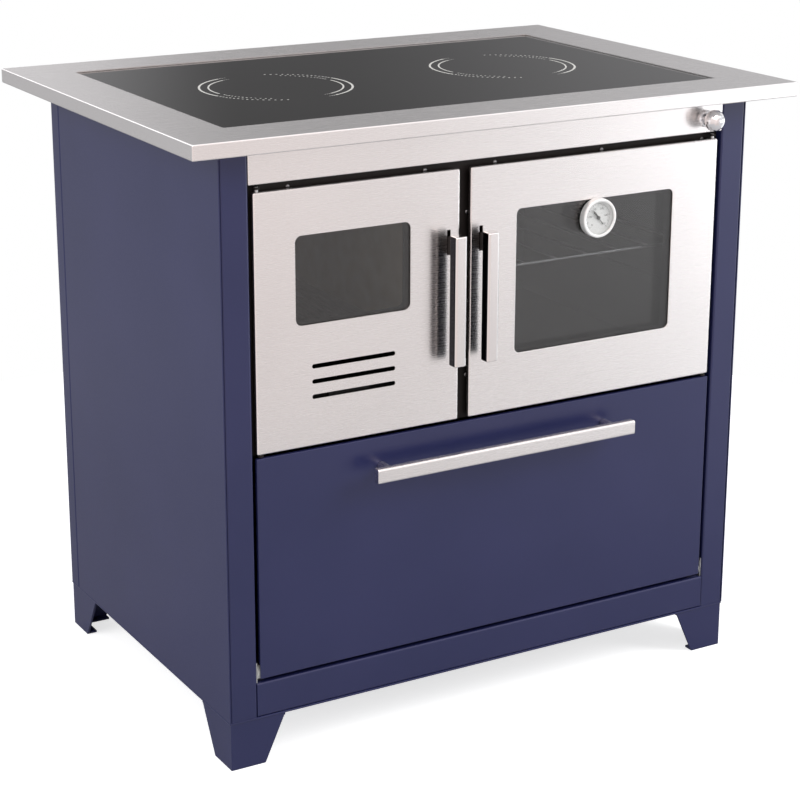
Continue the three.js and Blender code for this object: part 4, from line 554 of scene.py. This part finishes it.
# ---------------------------------------------------------------- oven
# The oven is a folded box in speckled grey enamel with three pairs of ledges. A chromed
# wire rack lies on the middle pair.
enamel = surface(
    "oven_enamel", (0.036, 0.036, 0.038, 1), (0.042, 0.042, 0.044, 1), 0.0, (0.45, 0.50), (900, 900, 900), 60.0,
    0.01, 0.00001)[0]
dress(["oven_box"], enamel)
chrome = surface(
    "polished_chrome", (0.78, 0.78, 0.79, 1), (0.84, 0.84, 0.85, 1), 1.0, (0.05, 0.11), (300, 300, 300), 20.0,
    0.02, 0.00003)[0]
dress(["damper_knob", "damper_rosette"], chrome)
rack_wire = surface(
    "rack_wire", (0.58, 0.58, 0.59, 1), (0.64, 0.64, 0.65, 1), 0.8, (0.30, 0.38), (300, 300, 300), 20.0,
    0.01, 0.00002)[0]
dress(["oven_rack"], rack_wire)

# ---------------------------------------------------------------- door glass
# The door panes are heat-resistant glass with a grey tint. The oven door has a second, clear
# pane on its inner side.


def glass(name, colour, rough):
    material = bpy.data.materials.new(name)
    material.use_nodes = True
    tree = material.node_tree
    shader = tree.nodes["Principled BSDF"]
    effect = add_node(tree, "ShaderNodeGroup", node_tree=CLOUD_AND_GRAIN)
    effect.inputs["Grain Stretch"].default_value = (60, 60, 60)
    effect.inputs["Cloud Size"].default_value = 9.0
    haze = add_node(tree, "ShaderNodeMapRange")
    haze.inputs["From Min"].default_value = 0.35
    haze.inputs["From Max"].default_value = 0.75
    haze.inputs["To Min"].default_value = rough[0]
    haze.inputs["To Max"].default_value = rough[1]
    tree.links.new(effect.outputs["Cloud"], haze.inputs["Value"])
    tree.links.new(haze.outputs["Result"], shader.inputs["Roughness"])
    shader.inputs["Base Color"].default_value = colour
    shader.inputs["Transmission Weight"].default_value = 1.0
    shader.inputs["IOR"].default_value = 1.56
    return material


dress(["fire_door_glass", "oven_door_glass"], glass("tinted_door_glass", (0.55, 0.55, 0.55, 1), (0.0, 0.008)))
dress(["oven_door_inner_glass"], glass("inner_door_glass", (0.62, 0.62, 0.63, 1), (0.0, 0.008)))

# ---------------------------------------------------------------- rope gaskets
# Braided glass-fibre rope, blackened with graphite, pressed into the liners' grooves.
rope = surface(
    "rope_gasket", (0.035, 0.034, 0.033, 1), (0.060, 0.058, 0.056, 1), 0.0, (0.90, 1.0), (420, 420, 420), 90.0,
    0.8, 0.0008)[0]
dress(["fire_door_gasket", "oven_door_gasket"], rope)

# ---------------------------------------------------------------- oven thermometer
# A round dial thermometer in a polished steel case: printed white dial, black pointer and a
# clear lens under the rolled bezel.
case_steel = surface(
    "thermometer_steel", (0.90, 0.90, 0.89, 1), (0.94, 0.94, 0.93, 1), 0.45, (0.34, 0.40), (400, 400, 400), 30.0,
    0.02, 0.00003)[0]
dress(["thermometer_case"], case_steel)
dial_card = surface(
    "dial_card", (0.80, 0.80, 0.79, 1), (0.84, 0.84, 0.83, 1), 0.0, (0.45, 0.6), (500, 500, 500), 50.0, 0.02)[0]
dress(["thermometer_dial"], dial_card)
pointer_black = surface(
    "pointer_black", (0.012, 0.012, 0.012, 1), (0.020, 0.020, 0.020, 1), 0.0, (0.35, 0.5), (500, 500, 500), 60.0,
    0.02)[0]
dress(["thermometer_needle"], pointer_black)
# The lens is partly see-through, so that the lamps reach the dial under it.
LENS_ALPHA = 0.3
lens_glass = glass("lens_glass", (0.96, 0.97, 0.97, 1), (0.0, 0.01))
lens_glass.node_tree.nodes["Principled BSDF"].inputs["Alpha"].default_value = LENS_ALPHA
dress(["thermometer_lens"], lens_glass)

DIAL_LOW, DIAL_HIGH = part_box("thermometer_dial")
DIAL_X = (DIAL_LOW.x + DIAL_HIGH.x) / 2
DIAL_Z = (DIAL_LOW.z + DIAL_HIGH.z) / 2
DIAL_Y = DIAL_LOW.y
DIAL_R = (DIAL_HIGH.x - DIAL_LOW.x) / 2
DIAL_START = 225.0
DIAL_SWEEP = 270.0
DIAL_MARKS = 10
DIAL_STEP = 50


def dial_print():
    shape = bmesh.new()
    for i in range(DIAL_MARKS * 2 + 1):
        a = math.radians(DIAL_START - DIAL_SWEEP * i / (DIAL_MARKS * 2))
        long_mark = i % 2 == 0
        reach = 0.0026 if long_mark else 0.0015
        width = 0.0005 if long_mark else 0.0003
        middle = DIAL_R * 0.80 - reach / 2
        place = Matrix.Translation((middle * math.cos(a), middle * math.sin(a), 0)) @ Matrix.Rotation(a, 4, "Z")
        bmesh.ops.create_grid(
            shape, x_segments=1, y_segments=1, size=0.5, matrix=place @ Matrix.Diagonal((reach, width, 1, 1)))
    arc_line(shape, DIAL_R * 0.80, 0.0003, DIAL_START, DIAL_START - DIAL_SWEEP)
    for i in range(0, DIAL_MARKS + 1, 2):
        a = math.radians(DIAL_START - DIAL_SWEEP * i / DIAL_MARKS)
        words = bpy.data.curves.new("dial_number", "FONT")
        words.body = str(i * DIAL_STEP)
        words.size = 0.0042
        words.align_x = "CENTER"
        words.align_y = "CENTER"
        holder = bpy.data.objects.new("dial_number", words)
        scene.collection.objects.link(holder)
        bpy.context.view_layer.update()
        flat = bpy.data.meshes.new_from_object(holder.evaluated_get(bpy.context.evaluated_depsgraph_get()))
        flat.transform(Matrix.Translation((DIAL_R * 0.55 * math.cos(a), DIAL_R * 0.55 * math.sin(a), 0)))
        shape.from_mesh(flat)
        bpy.data.meshes.remove(flat)
        bpy.data.objects.remove(holder)
        bpy.data.curves.remove(words)
    upright_dial = Matrix.Translation((DIAL_X, DIAL_Y - PRINT_FILM, DIAL_Z)) @ Matrix.Rotation(math.pi / 2, 4, "X")
    bmesh.ops.transform(shape, matrix=upright_dial, verts=shape.verts)
    for face in shape.faces:
        face.normal_update()
        if face.normal.y > 0:
            face.normal_flip()
    new_piece("dial_marks", shape, pointer_black, "oven_door")


dial_print()

# ---------------------------------------------------------------- drawer rollers
# Four white nylon rollers carry the drawer: two on the runners, two on the drawer's sides.
nylon = surface(
    "white_nylon", (0.74, 0.74, 0.70, 1), (0.80, 0.80, 0.77, 1), 0.0, (0.38, 0.5), (300, 300, 300), 40.0, 0.05)[0]
ROLLER_EDGE = 0.0018
ROLLERS = ["roller_front_left", "roller_front_right", "roller_rear_left", "roller_rear_right"]
dress(ROLLERS, nylon)
soften(ROLLERS, ROLLER_EDGE, 3)

# ---------------------------------------------------------------- screws
# Pan-head screws with a cross slot: on the black frame round the doors, and round the edge
# of the back panel and along the side panels' rear edge.
SCREW_RADIUS = 0.0036
SCREW_HEIGHT = 0.0021
SMALL_SCREW_RADIUS = 0.0028
SMALL_SCREW_HEIGHT = 0.0016
FRAME_SHEET = 0.003
screw_steel = surface(
    "screw_steel", (0.30, 0.30, 0.31, 1), (0.42, 0.42, 0.43, 1), 1.0, (0.25, 0.4), (700, 700, 700), 80.0, 0.05)[0]


def screw_head(shape, place, facing, radius=SCREW_RADIUS, height=SCREW_HEIGHT):
    """Domed head on the given spot of a flat face, looking along the given direction."""
    turn = Vector((0, 0, 1)).rotation_difference(Vector(facing)).to_matrix().to_4x4()
    stand = Matrix.Translation(place) @ turn
    made = bmesh.ops.create_cone(
        shape, cap_ends=True, segments=20, radius1=radius, radius2=radius * 0.94, depth=height,
        matrix=stand @ Matrix.Translation((0, 0, height / 2)))
    top = [f for v in made["verts"] for f in v.link_faces]
    rim = {e for f in top for e in f.edges
           if all((stand.inverted() @ v.co).z > height * 0.9 for v in e.verts) and len(f.verts) > 4}
    bmesh.ops.bevel(
        shape, geom=list(rim), offset=radius * 0.4, offset_type="OFFSET", segments=3, profile=0.5,
        affect="EDGES", material=-1)
    for angle in (0.0, math.pi / 2):
        slot = Matrix.Translation((0, 0, height + 0.00002)) @ Matrix.Rotation(angle, 4, "Z")
        bmesh.ops.create_grid(
            shape, x_segments=1, y_segments=1, size=0.5,
            matrix=stand @ slot @ Matrix.Diagonal((radius * 0.9, radius * 0.2, 1, 1)))


FRAME_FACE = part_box("front_frame")[1].y - FRAME_SHEET
frame_screws = bmesh.new()
for x, z in (
    (-0.0424, 0.7120), (-0.0413, 0.4890), (-0.3049, 0.7738), (-0.1070, 0.7738), (-0.0004, 0.7738),
    (0.1700, 0.7738), (0.3394, 0.7720),
):
    screw_head(frame_screws, (x, FRAME_FACE, z), (0, -1, 0), SMALL_SCREW_RADIUS, SMALL_SCREW_HEIGHT)
new_piece("frame_screws", frame_screws, screw_steel, "cabinet")

BACK_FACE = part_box("back_panel")[1].y
back_screws = bmesh.new()
for x in (-0.352, -0.18, 0.0, 0.18, 0.352):
    for z in (0.082, 0.817):
        screw_head(back_screws, (x, BACK_FACE, z), (0, 1, 0))
for x in (-0.352, 0.352):
    for z in (0.265, 0.45, 0.635):
        screw_head(back_screws, (x, BACK_FACE, z), (0, 1, 0))
new_piece("back_screws", back_screws, screw_steel, "cabinet")
